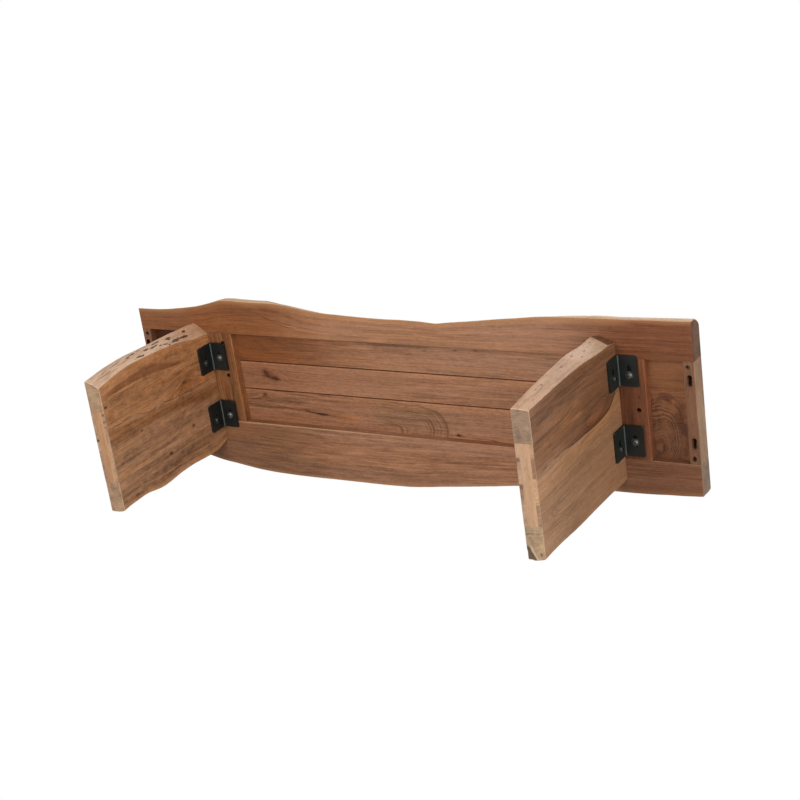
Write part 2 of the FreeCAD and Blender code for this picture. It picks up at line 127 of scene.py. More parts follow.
RIGHT_REAR_NEAR = [(0.0, 158.6), (48.0, 158.0), (86.0, 158.8), (124.0, 161.0),
                   (164.0, 162.5), (204.0, 163.0), (245.0, 163.1), (286.0, 163.8),
                   (329.0, 164.6), (372.0, 167.2), (412.5, 166.4)]
RIGHT_REAR_FAR = [(h, y + 6.0) for (h, y) in RIGHT_REAR_NEAR]


# ----------------------------------------------------------------------------
# Small maths
# ----------------------------------------------------------------------------
class Spline:
    """Natural cubic through a table of (t, value)."""

    def __init__(self, tab):
        self.t = np.array([p[0] for p in tab], float)
        self.v = np.array([p[1] for p in tab], float)
        n = len(self.t)
        h = np.diff(self.t)
        m = np.zeros((n, n))
        r = np.zeros(n)
        m[0, 0] = m[-1, -1] = 1.0
        for i in range(1, n - 1):
            m[i, i - 1], m[i, i], m[i, i + 1] = h[i - 1], 2 * (h[i - 1] + h[i]), h[i]
            r[i] = 6 * ((self.v[i + 1] - self.v[i]) / h[i] - (self.v[i] - self.v[i - 1]) / h[i - 1])
        self.c = np.linalg.solve(m, r)

    def __call__(self, x):
        x = np.clip(np.asarray(x, float), self.t[0], self.t[-1])
        i = np.clip(np.searchsorted(self.t, x) - 1, 0, len(self.t) - 2)
        h = self.t[i + 1] - self.t[i]
        a, b = (self.t[i + 1] - x) / h, (x - self.t[i]) / h
        return (a * self.v[i] + b * self.v[i + 1]
                + ((a ** 3 - a) * self.c[i] + (b ** 3 - b) * self.c[i + 1]) * h * h / 6)


def table(tab, x):
    return np.interp(x, [p[0] for p in tab], [p[1] for p in tab])


def _hash(i, j, k, seed):
    h = (i.astype(np.int64) * 374761393 + j.astype(np.int64) * 668265263
         + k.astype(np.int64) * 2147483647 + np.int64(seed) * 1274126177) & 0xFFFFFFFF
    h = ((h ^ (h >> 13)) * 1274126177) & 0xFFFFFFFF
    h = ((h ^ (h >> 16)) * 2246822519) & 0xFFFFFFFF
    return ((h ^ (h >> 15)) & 0xFFFFFF) / float(0xFFFFFF)


def vnoise(x, y, z, seed=0):
    """Smooth value noise in 0..1 with unit cells."""
    x, y, z = np.broadcast_arrays(np.asarray(x, float), np.asarray(y, float), np.asarray(z, float))
    i, j, k = np.floor(x), np.floor(y), np.floor(z)
    u, v, w = x - i, y - j, z - k
    u, v, w = (t * t * t * (t * (t * 6 - 15) + 10) for t in (u, v, w))
    out = 0.0
    for di in (0, 1):
        for dj in (0, 1):
            for dk in (0, 1):
                wt = (u if di else 1 - u) * (v if dj else 1 - v) * (w if dk else 1 - w)
                out = out + wt * _hash(i + di, j + dj, k + dk, seed)
    return out


def fnoise(x, y, z, seed=0, octaves=3, rough=0.5):
    out, amp, tot = 0.0, 1.0, 0.0
    for o in range(octaves):
        out = out + amp * vnoise(np.asarray(x) * 2 ** o, np.asarray(y) * 2 ** o, np.asarray(z) * 2 ** o, seed + 17 * o)
        tot += amp
        amp *= rough
    return out / tot


def sstep(x, a, b):
    t = np.clip((np.asarray(x, float) - a) / (b - a), 0, 1)
    return t * t * (3 - 2 * t)


# ----------------------------------------------------------------------------
# Lofted boards with softened arrises
# ----------------------------------------------------------------------------
ARC = 3


def outline(chains, radii, counts):
    """Closed outline with softened corners.  Returns points, chain number and
    how near each point is to the middle of a softened corner (0..1)."""
    k = len(chains)
    cut = []
    for i, ch in enumerate(chains):
        cum = np.r_[0.0, np.cumsum(np.hypot(*np.diff(ch, axis=0).T))]
        length = cum[-1]
        a, b = radii[i], radii[(i + 1) % k]
        e = min(0.0005, 0.05 * length)
        s = np.r_[a, np.linspace(a + e, length - b - e, counts[i]), length - b]
        cut.append(np.c_[np.interp(s, cum, ch[:, 0]), np.interp(s, cum, ch[:, 1])])
    ts = np.linspace(0, 1, 2 * ARC + 1)[:, None]
    bends = []
    for i in range(k):
        p0, c, p1 = cut[i - 1][-1], chains[i][0], cut[i][0]
        bends.append((1 - ts) ** 2 * p0 + 2 * ts * (1 - ts) * c + ts ** 2 * p1)
    pts, tag, arris = [], [], []
    near = 1 - np.arange(ARC) / ARC
    for i in range(k):
        nxt = (i + 1) % k
        run = [bends[i][ARC:-1], cut[i], bends[nxt][1:ARC]]
        pts += run
        tag += [i] * sum(len(r) for r in run)
        arris += list(near) + [0.0] * len(cut[i]) + list(near[:0:-1])
    return np.concatenate(pts), np.array(tag), np.array(arris)


def loft(name, rings, tag, cols):
    """Mesh from closed rings (station, point, xyz) with grid-filled ends.
    cols: name -> (station, point) floats stored on the vertices; a name that
    starts with "flow" is carried across the ends, the others are nought there."""
    rings = np.asarray(rings, float)
    s, n, _ = rings.shape
    names = list(cols)
    data = np.concatenate([rings] + [np.asarray(cols[c], float)[:, :, None] for c in names], axis=2)
    blank = [3 + i for i, c in enumerate(names) if not c.startswith("flow")]
    verts = [data.reshape(s * n, -1)]
    i, j = np.arange(s - 1)[:, None], np.arange(n)[None, :]
    j2 = (j + 1) % n
    faces = [np.stack([i * n + j, i * n + j2, (i + 1) * n + j2, (i + 1) * n + j], -1).reshape(-1, 4)]
    starts = [int(np.argmax(tag == t)) for t in range(4)]
    count = s * n
    for ring in (0, s - 1):
        idx = []
        for t in range(4):
            a, b = starts[t], starts[(t + 1) % 4]
            run = list(range(a, b)) if b > a else list(range(a, n)) + list(range(0, b))
            idx.append(np.array(run + [b]))
        bot, side_b, top, side_a = idx[0], idx[1], idx[2][::-1], idx[3][::-1]
        nu, nv = len(bot), len(side_a)
        d = data[ring]
        fu = np.linspace(0, 1, nu)[None, :, None]
        fv = np.linspace(0, 1, nv)[:, None, None]
        p = ((1 - fv) * d[bot][None] + fv * d[top][None] + (1 - fu) * d[side_a][:, None] + fu * d[side_b][:, None]
             - ((1 - fu) * (1 - fv) * d[bot[0]] + fu * (1 - fv) * d[bot[-1]]
                + (1 - fu) * fv * d[top[0]] + fu * fv * d[top[-1]]))
        p = p[1:-1, 1:-1].copy()
        p[:, :, blank] = 0.0
        grid = np.zeros((nv, nu), int)
        grid[0, :], grid[-1, :] = bot, top
        grid[:, 0], grid[:, -1] = side_a, side_b
        grid = grid + ring * n
        grid[1:-1, 1:-1] = count + np.arange((nv - 2) * (nu - 2)).reshape(nv - 2, nu - 2)
        verts.append(p.reshape(-1, data.shape[2]))
        count += (nv - 2) * (nu - 2)
        faces.append(np.stack([grid[:-1, :-1], grid[:-1, 1:], grid[1:, 1:], grid[1:, :-1]], -1).reshape(-1, 4))
    allv = np.concatenate(verts)
    me = bpy.data.meshes.new(name)
    me.from_pydata(allv[:, :3].tolist(), [], np.concatenate(faces).tolist())
    bm = bmesh.new()
    bm.from_mesh(me)
    bmesh.ops.recalc_face_normals(bm, faces=bm.faces)
    bm.to_mesh(me)
    bm.free()
    for q, c in enumerate(names):
        at = me.attributes.new(c, "FLOAT", "POINT")
        at.data.foreach_set("value", allv[:, 3 + q].astype(np.float32))
    me.polygons.foreach_set("use_smooth", [True] * len(me.polygons))
    me.set_sharp_from_angle(angle=math.radians(38))
    me.update()
    ob = bpy.data.objects.new(name, me)
    bpy.context.scene.collection.objects.link(ob)
    return ob


def keep(ob, node):
    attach(ob, "root")
    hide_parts(node)


def rounded_stations(a, b, step, ra, rb):
    """Stations from a to b with the inset each one needs for rounded ends."""
    n = max(2, int(round((b - a) / step)))
    st, ins = [], []
    if ra > 0:
        for q in range(5):
            th = math.radians(90 - 22.5 * q)
            st.append(a + ra - ra * math.sin(th))
            ins.append(ra * (1 - math.cos(th)))
    for t in np.linspace(a + ra, b - rb, n):
        if not st or t > st[-1] + 1e-7:
            st.append(float(t))
            ins.append(0.0)
    if rb > 0:
        for q in range(1, 5):
            th = math.radians(22.5 * q)
            st.append(b - rb + rb * math.sin(th))
            ins.append(rb * (1 - math.cos(th)))
    return np.array(st), np.array(ins)


def seat_board(name, node, edge, full, levels, side, seed):
    inner = side * 0.117 + YS
    st, ins = rounded_stations(-HALF, HALF, 0.0036, 0.0015, 0.0015)
    xm = st * 1000
    lift = np.array([l[0] for l in levels])
    lv = np.linspace(0, levels[-1][0], 17)
    k = table(full, xm)[:, None]
    lo, hi = np.array([l[1] for l in levels]), np.array([l[2] for l in levels])
    prof = (lo + (hi - lo) * k) @ np.linalg.inv(np.vander(lift, 4)).T @ np.vander(lv, 4).T
    # the natural edge is never quite even: it only ever falls short
    soft = 1.2 * fnoise(xm / 60, seed, 3.1, seed, 2) + 0.25 * fnoise(xm / 14, seed, 9.1, seed + 3, 2) - 0.45
    gx, gl = np.meshgrid(xm, lv, indexing="ij")
    face = 1.5 * fnoise(gx / 70, gl / 24, 1.7, seed + 5, 2) + 0.5 * fnoise(gx / 24, gl / 6, 4.2, seed + 8, 2)
    groove = 1 - np.abs(2 * fnoise(gx / 120, gl / 7.5, 6.6, seed + 12, 2) - 1)
    dents = sstep(fnoise(gx / 12, gl / 5.5, 2.9, seed + 15, 2), 0.68, 0.82)
    body = np.sin(np.pi * lv / lv[-1]) ** 0.7
    fall = np.maximum(soft, 0.0)[:, None] + (face - 0.95 + 0.6 * sstep(groove, 0.80, 1.0) + 0.5 * dents) * body
    y_all = (Spline(edge)(xm)[:, None] + prof - side * fall) * 0.001 + YS
    y_all = np.clip(y_all, cad_lo.y + 0.0003, cad_hi.y - 0.0003)
    z = UNDER + lv * 0.001
    mid = (UNDER + TOP) / 2
    wide_mean = float(np.mean(np.abs(y_all[:, 0] - inner)))
    rings, live, dist, arr, flow, lip, wall = [], [], [], [], [], [], []
    tag = None
    for x, inset, y in zip(st, ins, y_all):
        chains = [np.array([(inner, UNDER), (y[0], UNDER)]), np.c_[y, z],
                  np.array([(y[-1], TOP), (inner, TOP)]), np.array([(inner, TOP), (inner, UNDER)])]
        pts, tag, ar = outline(chains, (0.0013, 0.0022, 0.0042, 0.0006), (30, 20, 30, 20))
        wide = abs(y[0] - inner)
        at = np.interp(pts[:, 1], z, y)
        py = inner + (pts[:, 0] - inner) * (1 - inset / wide)
        pz = mid + (pts[:, 1] - mid) * (1 - inset / ((TOP - UNDER) / 2))
        rings.append(np.c_[np.full(len(pts), x), py, pz])
        live.append((tag == 1).astype(float))
        dist.append(np.abs(at - pts[:, 0]))
        arr.append(ar)
        flow.append((pts[:, 0] - inner) / (at - inner) * wide_mean)
        near = np.hypot(pts[:, 0] - inner, pts[:, 1] - UNDER)
        lip.append(np.clip(1 - near / 0.0042, 0, 1))
        wall.append((tag == 3).astype(float))
    ob = loft(name, rings, tag, {"live": live, "edge": dist, "arris": arr, "flow": flow, "lip": lip, "wall": wall})
    keep(ob, node)
    return ob


def stile(name, node, near, far, core_mm, side, bulge, seed, step=0.0030, across=20, pits=(), facet=None, chip=None, rough=1.0):
    lo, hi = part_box(node)
    x0, x1 = lo.x, hi.x
    inner = Y(core_mm)
    st, ins = rounded_stations(0.0, UNDER, step, 0.0011, 0.0)
    zm = st * 1000
    t = np.linspace(0, 1, 25)
    gz, gt = np.meshgrid(zm, t, indexing="ij")
    wob = 1.3 * fnoise(gz / 38, 2.2 + seed, gt * 1.6, seed, 3) + 0.6 * fnoise(gz / 9, gt * 5, 7.7, seed + 2, 2) - 0.95
    yn, yf = Spline(near)(zm)[:, None], Spline(far)(zm)[:, None]
    y_all = (yf + (yn - yf) * gt + side * (bulge * (1 - (2 * gt - 1) ** 2)
                                           + wob * rough * (0.35 + 0.65 * np.sin(np.pi * gt)))) * 0.001 + YS
    x = x0 + (x1 - x0) * t
    wide_mean = float(np.mean(np.abs(yn - core_mm))) * 0.001
    pts_all, arr, dist, flow = [], [], [], []
    tag = None
    for y in y_all:
        chains = [np.array([(x0, inner), (x0, y[0])]), np.c_[x, y],
                  np.array([(x1, y[-1]), (x1, inner)]), np.array([(x1, inner), (x0, inner)])]
        pts, tag, ar = outline(chains, (0.0003, 0.0030, 0.0026, 0.0003), (18, across, 18, across))
        at = np.interp(pts[:, 0], x, y)
        pts_all.append(pts)
        arr.append(ar)
        dist.append(np.abs(at - pts[:, 1]))
        flow.append((pts[:, 1] - inner) / (at - inner) * wide_mean * side + inner)
    P = np.array(pts_all)
    on = (tag == 1)[None, :] * np.ones(P.shape[:2])
    W = np.repeat((UNDER - st)[:, None] * 1000, P.shape[1], axis=1)
    hole = np.zeros(P.shape[:2])
    if pits:
        PX = P[:, :, 0] * 1000
        rag = fnoise(PX / 2.4, W / 8.5, 0.3, seed + 31, 3) - 0.5
        bow = 2.2 * (fnoise(W / 16, 0.5, 1.1, seed + 35, 2) - 0.5)
        for (pxx, pw, lg, wd, dp, tilt) in pits:
            dx, dw = PX - pxx + bow, W - pw
            u = (dw + tilt * dx) / (lg / 2)
            v = (dx - tilt * dw) / (wd / 2)
            d = np.sqrt(u * u + v * v) + 1.6 * rag
            hole = np.maximum(hole, dp * (1 - sstep(d, 0.55, 1.25)))
        hole = hole * on
        P[:, :, 1] -= side * hole * 0.001
    stain = np.zeros(P.shape[:2])
    if chip is not None:
        cx, cy, cz, rx, ry, rz, deep = chip
        zz = np.repeat(st[:, None], P.shape[1], axis=1)
        d = np.sqrt(((P[:, :, 0] - cx) / rx) ** 2 + ((P[:, :, 1] - cy) / ry) ** 2 + ((zz - cz) / rz) ** 2)
        d = d + 0.30 * (fnoise(P[:, :, 0] * 160, P[:, :, 1] * 160, zz * 160, seed + 77, 3) - 0.5)
        m = 1 - sstep(d, 0.55, 1.0)
        c = np.array([(x0 + x1) / 2, inner + side * 0.03])
        dirv = c - P
        dirv = dirv / np.linalg.norm(dirv, axis=2)[:, :, None]
        P = P + dirv * (m * deep)[:, :, None]
        stain = m
    # the foot's rim is rubbed as well, except along the glue line
    rim = np.clip(1 - np.abs(st - 0.0006) / 0.0016, 0, 1)[:, None] * (tag != 3)[None, :]
    arr = np.maximum(np.array(arr), rim)
    wide = (np.abs(yn - core_mm) * 0.001)
    mid = (x0 + x1) / 2
    py = inner + (P[:, :, 1] - inner) * (1 - ins[:, None] / wide)
    px = mid + (P[:, :, 0] - mid) * (1 - ins[:, None] / ((x1 - x0) / 2))
    rings = np.stack([px, py, np.repeat(st[:, None], P.shape[1], axis=1)], -1)
    live = on if facet is None else on * sstep(W, facet - 2.5, facet + 2.5)
    ob = loft(name, rings, tag, {"live": live, "edge": dist, "arris": arr, "pit": np.clip(hole / 1.6, 0, 1),
                                 "stain": stain, "flow": flow})
    keep(ob, node)
    return ob


# ----------------------------------------------------------------------------
# Node materials
# ----------------------------------------------------------------------------
def lin(c):
    out = []
    for v in c[:3]:
        v = min(v, 255.0) / 255.0
        out.append(v / 12.92 if v <= 0.04045 else ((v + 0.055) / 1.055) ** 2.4)
    return (*out, 1.0)


def tone(c, k, tilt=0.0):
    """A darker or lighter version of a colour; tilt cools (-) or warms (+) it."""
    return (c[0] * k * (1 + 0.5 * tilt), c[1] * k, c[2] * k * (1 - tilt))


class Val:
    """A node socket, scaled by k and shifted by m, that can be added,
    multiplied and so on."""

    def __init__(self, net, sock, k=1.0, m=0.0):
        self.net, self.sock, self.k, self.m = net, sock, k, m

    def raw(self):
        return Val(self.net, self.sock)

    def whole(self):
        """The socket that carries the scaled and shifted value."""
        if self.k != 1.0 or self.m != 0.0:
            v = self.net.math("MULTIPLY_ADD", self.raw(), self.k, self.m)
            self.sock, self.k, self.m = v.sock, 1.0, 0.0
        return self.sock

    def __add__(self, o):
        if not isinstance(o, Val):
            return Val(self.net, self.sock, self.k, self.m + o)
        if o.k == 0.0:
            return Val(self.net, self.sock, self.k, self.m + o.m)
        if self.k == 0.0:
            return Val(self.net, o.sock, o.k, self.m + o.m)
        if self.k == o.k:
            v = self.net.math("ADD", self.raw(), o.raw())
        else:
            v = self.net.math("MULTIPLY_ADD", self.raw(), self.k / o.k, o.raw())
        return Val(self.net, v.sock, o.k, self.m + o.m)

    __radd__ = __add__

    def __mul__(self, o):
        if not isinstance(o, Val):
            return Val(self.net, self.sock, self.k * o, self.m * o)
        if self.m == 0.0 and o.m == 0.0:
            return Val(self.net, self.net.math("MULTIPLY", self.raw(), o.raw()).sock, self.k * o.k)
        if self.m == 0.0:
            return Val(self.net, self.net.math("MULTIPLY", self.raw(), o).sock, self.k)
        if o.m == 0.0:
            return Val(self.net, self.net.math("MULTIPLY", self, o.raw()).sock, o.k)
        return self.net.math("MULTIPLY", self, o)

    __rmul__ = __mul__

    def __sub__(self, o):
        return self + o * -1.0

    def __rsub__(self, o):
        return self * -1.0 + o

    def __truediv__(self, o):
        return self.net.math("DIVIDE", self, o) if isinstance(o, Val) else self * (1.0 / o)


class Net:
    def __init__(self, name):
        self.mat = bpy.data.materials.new(name)
        self.mat.use_nodes = True
        self.tree = self.mat.node_tree
        self.tree.nodes.clear()
        self.frames = {}
        self.out = self.tree.nodes.new("ShaderNodeOutputMaterial")
        self.bsdf = self.tree.nodes.new("ShaderNodeBsdfPrincipled")
        self.tree.links.new(self.bsdf.outputs[0], self.out.inputs[0])

    def node(self, kind, **props):
        nd = self.tree.nodes.new(kind)
        for k, v in props.items():
            if getattr(nd, k) != v:
                setattr(nd, k, v)
        return nd

    def put(self, sock, v):
        if isinstance(v, Val):
            self.tree.links.new(v.whole(), sock)
        elif isinstance(v, float):
            if sock.default_value != v:
                sock.default_value = v
        elif v is not None:
            sock.default_value = v

    def math(self, op, a, b=None, c=None, clamp=False):
        nd = self.node("ShaderNodeMath", operation=op, use_clamp=clamp)
        self.put(nd.inputs[0], a)
        self.put(nd.inputs[1], b)
        self.put(nd.inputs[2], c)
        return Val(self, nd.outputs[0])

    def abs(self, v):
        return self.math("ABSOLUTE", v)

    def coords(self):
        nd = self.node("ShaderNodeTexCoord")
        sp = self.node("ShaderNodeSeparateXYZ")
        self.tree.links.new(nd.outputs["Object"], sp.inputs[0])
        return [Val(self, sp.outputs[i]) for i in range(3)]

    def normal(self):
        nd = self.node("ShaderNodeNewGeometry")
        sp = self.node("ShaderNodeSeparateXYZ")
        self.tree.links.new(nd.outputs["True Normal"], sp.inputs[0])
        return [Val(self, sp.outputs[i]) for i in range(3)]

    def vec(self, a, b, c):
        """A vector; the scales and shifts of its parts go into one node."""
        abc = [v if isinstance(v, Val) else None for v in (a, b, c)]
        key = tuple(0 if v is None else v.sock.as_pointer() for v in abc)
        if key not in self.frames:
            nd = self.node("ShaderNodeCombineXYZ")
            for s, v in zip(nd.inputs, abc):
                self.put(s, None if v is None else v.raw())
            self.frames[key] = nd.outputs[0]
        nd = self.node("ShaderNodeVectorMath", operation="MULTIPLY_ADD")
        self.tree.links.new(self.frames[key], nd.inputs[0])
        nd.inputs[1].default_value = [0.0 if v is None else v.k for v in abc]
        nd.inputs[2].default_value = [float(q) if v is None else v.m for q, v in zip((a, b, c), abc)]
        return Val(self, nd.outputs[0])

    def noise(self, vec, scale=1.0, detail=2.0, rough=0.5, distortion=0.0):
        nd = self.node("ShaderNodeTexNoise", noise_dimensions="3D")
        self.put(nd.inputs["Vector"], vec)
        self.put(nd.inputs["Scale"], scale)
        self.put(nd.inputs["Detail"], detail)
        self.put(nd.inputs["Roughness"], rough)
        self.put(nd.inputs["Distortion"], distortion)
        return Val(self, nd.outputs[0])

    def noise1(self, w, scale=1.0, detail=2.0, rough=0.5):
        nd = self.node("ShaderNodeTexNoise", noise_dimensions="1D")
        self.put(nd.inputs["W"], w)
        self.put(nd.inputs["Scale"], scale)
        self.put(nd.inputs["Detail"], detail)
        self.put(nd.inputs["Roughness"], rough)
        return Val(self, nd.outputs[0])

    def smooth(self, v, a, b, lo=0.0, hi=1.0):
        """Smooth step from lo at a to hi at b."""
        if hi == 0.0:
            a, b, lo, hi = b, a, 0.0, lo
        nd = self.node("ShaderNodeMapRange", interpolation_type="SMOOTHSTEP")
        self.put(nd.inputs[0], v.raw())
        self.put(nd.inputs[1], (a - v.m) / v.k)
        self.put(nd.inputs[2], (b - v.m) / v.k)
        if lo == 0.0:
            return Val(self, nd.outputs[0], hi)
        self.put(nd.inputs[3], lo)
        self.put(nd.inputs[4], hi)
        return Val(self, nd.outputs[0])

    def curve(self, t, pts):
        """A smooth line through (t, value) points, held level past its ends."""
        pts = sorted(pts)
        t0, t1 = pts[0][0], pts[-1][0]
        lo, hi = min(p[1] for p in pts), max(p[1] for p in pts)
        span = max(hi - lo, 1e-5)
        nd = self.node("ShaderNodeFloatCurve")
        cv = nd.mapping.curves[0]
        q = [((p - t0) / (t1 - t0), (v - lo) / span) for p, v in pts]
        cv.points[0].location, cv.points[1].location = q[0], q[-1]
        for p in q[1:-1]:
            cv.points.new(*p)
        nd.mapping.extend = "HORIZONTAL"
        nd.mapping.update()
        self.put(nd.inputs["Value"], (t - t0) * (1.0 / (t1 - t0)))
        self.put(nd.inputs["Factor"], 1.0)
        return Val(self, nd.outputs[0], span, lo)

    def ramp(self, fac, stops, mode="LINEAR"):
        nd = self.node("ShaderNodeValToRGB")
        nd.color_ramp.interpolation = mode
        el = nd.color_ramp.elements
        while len(el) < len(stops):
            el.new(0.5)
        for e, (pos, col) in zip(el, stops):
            e.position = pos
            e.color = lin(col)
        self.put(nd.inputs[0], fac)
        return Val(self, nd.outputs[0])

    def mix(self, fac, a, b, blend="MIX"):
        nd = self.node("ShaderNodeMix", data_type="RGBA", blend_type=blend, clamp_factor=True)
        self.put(nd.inputs[0], fac)
        self.put(nd.inputs[6], lin(a) if isinstance(a, tuple) else a)
        self.put(nd.inputs[7], lin(b) if isinstance(b, tuple) else b)
        return Val(self, nd.outputs[2])

    def tint(self, fac, col, k):
        """Multiplies a colour by k (three linear factors) where fac is 1."""
        nd = self.node("ShaderNodeMix", data_type="RGBA", blend_type="MULTIPLY", clamp_factor=True)
        self.put(nd.inputs[0], fac)
        self.put(nd.inputs[6], col)
        nd.inputs[7].default_value = (*k, 1.0)
        return Val(self, nd.outputs[2])

    def attr(self, name):
        nd = self.node("ShaderNodeAttribute", attribute_name=name)
        return Val(self, nd.outputs["Fac"])

    def bump(self, height, strength, distance):
        nd = self.node("ShaderNodeBump")
        self.put(nd.inputs["Height"], height)
        nd.inputs["Strength"].default_value = strength
        nd.inputs["Distance"].default_value = distance
        self.tree.links.new(nd.outputs[0], self.bsdf.inputs["Normal"])

    def set(self, **kw):
        for k, v in kw.items():
            s = self.bsdf.inputs[k.replace("_", " ")]
            self.put(s, v)


class Marks:
    """Marks on one board, natural ones and painted light and shade: lines,
    bands, spots, knots and ovals given as (along, across) in millimetres."""

    def __init__(self, n, a, b, col, conv, seed, fibre, reach=None):
        self.n, self.a, self.b, self.col = n, a, b, col
        self.A, self.B = conv
        self.fibre, self.reach = fibre, reach
        # share of the marks that belong to the underside alone
        self.low = 1.0
        self.wob = n.noise(n.vec(a * 26.0 + seed, b * 60.0, seed * 0.7), 1.0, 2.0, 0.55) - 0.5
        self.rag = n.noise(n.vec(a * 190.0, b * 420.0, seed * 1.3), 1.0, 2.5, 0.65) - 0.5
        self.bead = n.noise(n.vec(a * 24.0 + seed * 2.0, b * 24.0, 1.0), 1.0, 2.0, 0.6)

    def near(self, qs, pad=8.0):
        """False for a mark that lies wholly on the neighbouring pieces."""
        return self.reach is None or (max(qs) + pad > self.reach[0] and min(qs) - pad < self.reach[1])

    def pts(self, pts):
        return [(self.A(p), self.B(q)) for p, q in pts]

    def span(self, pts, fade):
        t0, t1 = min(p[0] for p in pts), max(p[0] for p in pts)
        f = min(fade * 0.001, (t1 - t0) * 0.5)
        return self.n.smooth(self.a, t0, t0 + f) * self.n.smooth(self.a, t1 - f, t1, 1.0, 0.0)

    def line(self, pts, wide, soft=1.5, fade=25.0, wob=2.0, bead=0.5):
        if not self.near([q for _, q in pts], 4.0 + wide + soft):
            return None
        q = self.pts(pts)
        d = self.n.abs(self.b - self.n.curve(self.a, q) + self.wob * (wob * 0.001)) + self.rag * (soft * 0.0007)
        m = self.n.smooth(d, wide * 0.0005, wide * 0.0005 + soft * 0.001, 1.0, 0.0) * self.span(q, fade)
        return m * self.n.smooth(self.bead, 0.36, 0.58, 1.0 - bead, 1.0)

    def band(self, first, second, soft=(2.0, 2.0), fade=25.0, wob=2.0):
        if not self.near([q for _, q in first + second], 4.0 + max(soft)):
            return None
        p, q = self.pts(first), self.pts(second)
        b = self.b + self.wob * (wob * 0.001) + (self.fibre - 0.5) * 0.004
        s0, s1 = soft[0] * 0.001, soft[1] * 0.001
        m = self.n.smooth(b - self.n.curve(self.a, p), -s0, s0) * self.n.smooth(self.n.curve(self.a, q) - b, -s1, s1)
        return m * self.span(p, fade)

    def side(self, pts, soft):
        """1 on the low side of a line."""
        s = soft * 0.001
        return self.n.smooth(self.n.curve(self.a, self.pts(pts)) - self.b + self.wob * 0.002 + (self.fibre - 0.5) * 0.003, -s, s)

    def drift(self, pts, k, amt=1.0):
        """A change of colour along the board: (along, how much)."""
        self.tint(self.n.curve(self.a + (self.fibre - 0.5) * 0.03, [(self.A(p), v) for p, v in pts]), k, amt)

    def rho(self, p, q, la, lb, slope=0.0):
        da, db = self.a - self.A(p), self.b - self.B(q)
        if slope:
            db = db - da * slope
        u, v = da * (1000.0 / la), db * (1000.0 / lb)
        return self.n.math("SQRT", u * u + v * v)

    def eye(self, p, q, radii):
        """Distance from (p, q) as a share of a radius that varies with the
        angle from +along towards +across: (degrees, millimetres)."""
        da, db = self.a - self.A(p), self.b - self.B(q)
        th = self.n.math("ARCTAN2", db, da)
        big = self.n.curve(th, [(math.radians(t), r * 0.001) for t, r in radii])
        return self.n.math("SQRT", da * da + db * db) / big, th

    def spot(self, p, q, la, lb, slope=0.0, ragged=0.8):
        if not self.near([q], 1.8 * lb + 2.0):
            return None
        d = self.rho(p, q, la, lb, slope) + self.wob * ragged + (self.fibre - 0.5) * 0.9
        return self.n.smooth(d, 0.35, 1.25, 1.0, 0.0)

    def tint(self, mask, k, amt=1.0):
        if mask is not None:
            self.col = self.n.tint(mask * amt, self.col, k)

    def blend(self, mask, col, amt=1.0):
        self.col = self.n.mix(mask * amt, self.col, col)

    def knot(self, p, q, la, lb, slope=0.0, amt=0.9, core=(58, 36, 26), halo=0.4):
        if not self.near([q], 2.6 * lb + 2.0):
            return
        r = self.rho(p, q, la, lb, slope)
        d = r + self.rag * 1.1
        if halo:
            self.tint(self.n.smooth(r + self.wob * 0.8, 0.8, 2.3, halo, 0.0), (0.66, 0.55, 0.48))
        self.blend(self.n.smooth(d, 0.70, 1.05, amt, 0.0), core)

    def slot(self, p, q, half, r, across=False, amt=0.95):
        """Painted shade in a hole, or in a slot that is half longer each way."""
        if not self.near([q], half + r + 2.0):
            return
        u, v = self.n.abs(self.a - self.A(p)), self.n.abs(self.b - self.B(q))
        if across:
            u, v = v, u
        if half:
            u = self.n.math("MAXIMUM", u - half * 0.001, 0.0)
        d = self.n.math("SQRT", u * u + v * v)
        self.tint(self.n.smooth(d, r * 0.001, (r + 1.2) * 0.001, 1.0, 0.0) * self.low, (0.07, 0.05, 0.04), amt)

    def seam(self, q, until):
        """Dark joint along the board with a painted highlight on the arris behind it; past a point along the board the
        joint closes up and the groove is painted lighter on the underside to cancel its shade."""
        n = self.n
        d = self.b - self.B(q)
        open_ = n.smooth(self.a, self.A(until), self.A(until + 12), 1.0, 0.0)
        self.tint(n.smooth(n.abs(d) + self.rag * 0.0008, 0.0011, 0.0019, 1.0, 0.0) * open_, (0.26, 0.19, 0.16), 0.9)
        # painted light in the closed groove, against its shade
        self.tint(n.smooth(n.abs(d), 0.0012, 0.0016, 1.0, 0.0) * (1.0 - open_) * self.low, (1.55, 1.55, 1.55))
        # painted highlight on the arris behind the joint
        light = n.smooth(d, 0.0019, 0.0027) * n.smooth(d, 0.0042, 0.0070, 1.0, 0.0)
        self.tint(light * n.smooth(self.bead, 0.38, 0.56, 0.25, 1.0) * open_, (1.34, 1.28, 1.18), 0.7)

    def halo(self, p, q, half_p, half_q, soft, amt=0.7):
        """Painted contact shadow and grime round the foot of a bracket."""
        n = self.n
        u = n.math("MAXIMUM", n.abs(self.a - self.A(p)) - half_p * 0.001, 0.0)
        v = n.math("MAXIMUM", n.abs(self.b - self.B(q)) - half_q * 0.001, 0.0)
        d = n.math("SQRT", u * u + v * v) + self.rag * 0.002
        self.tint(n.smooth(d, 0.0, soft * 0.001, 1.0, 0.0), (0.34, 0.29, 0.27), amt)


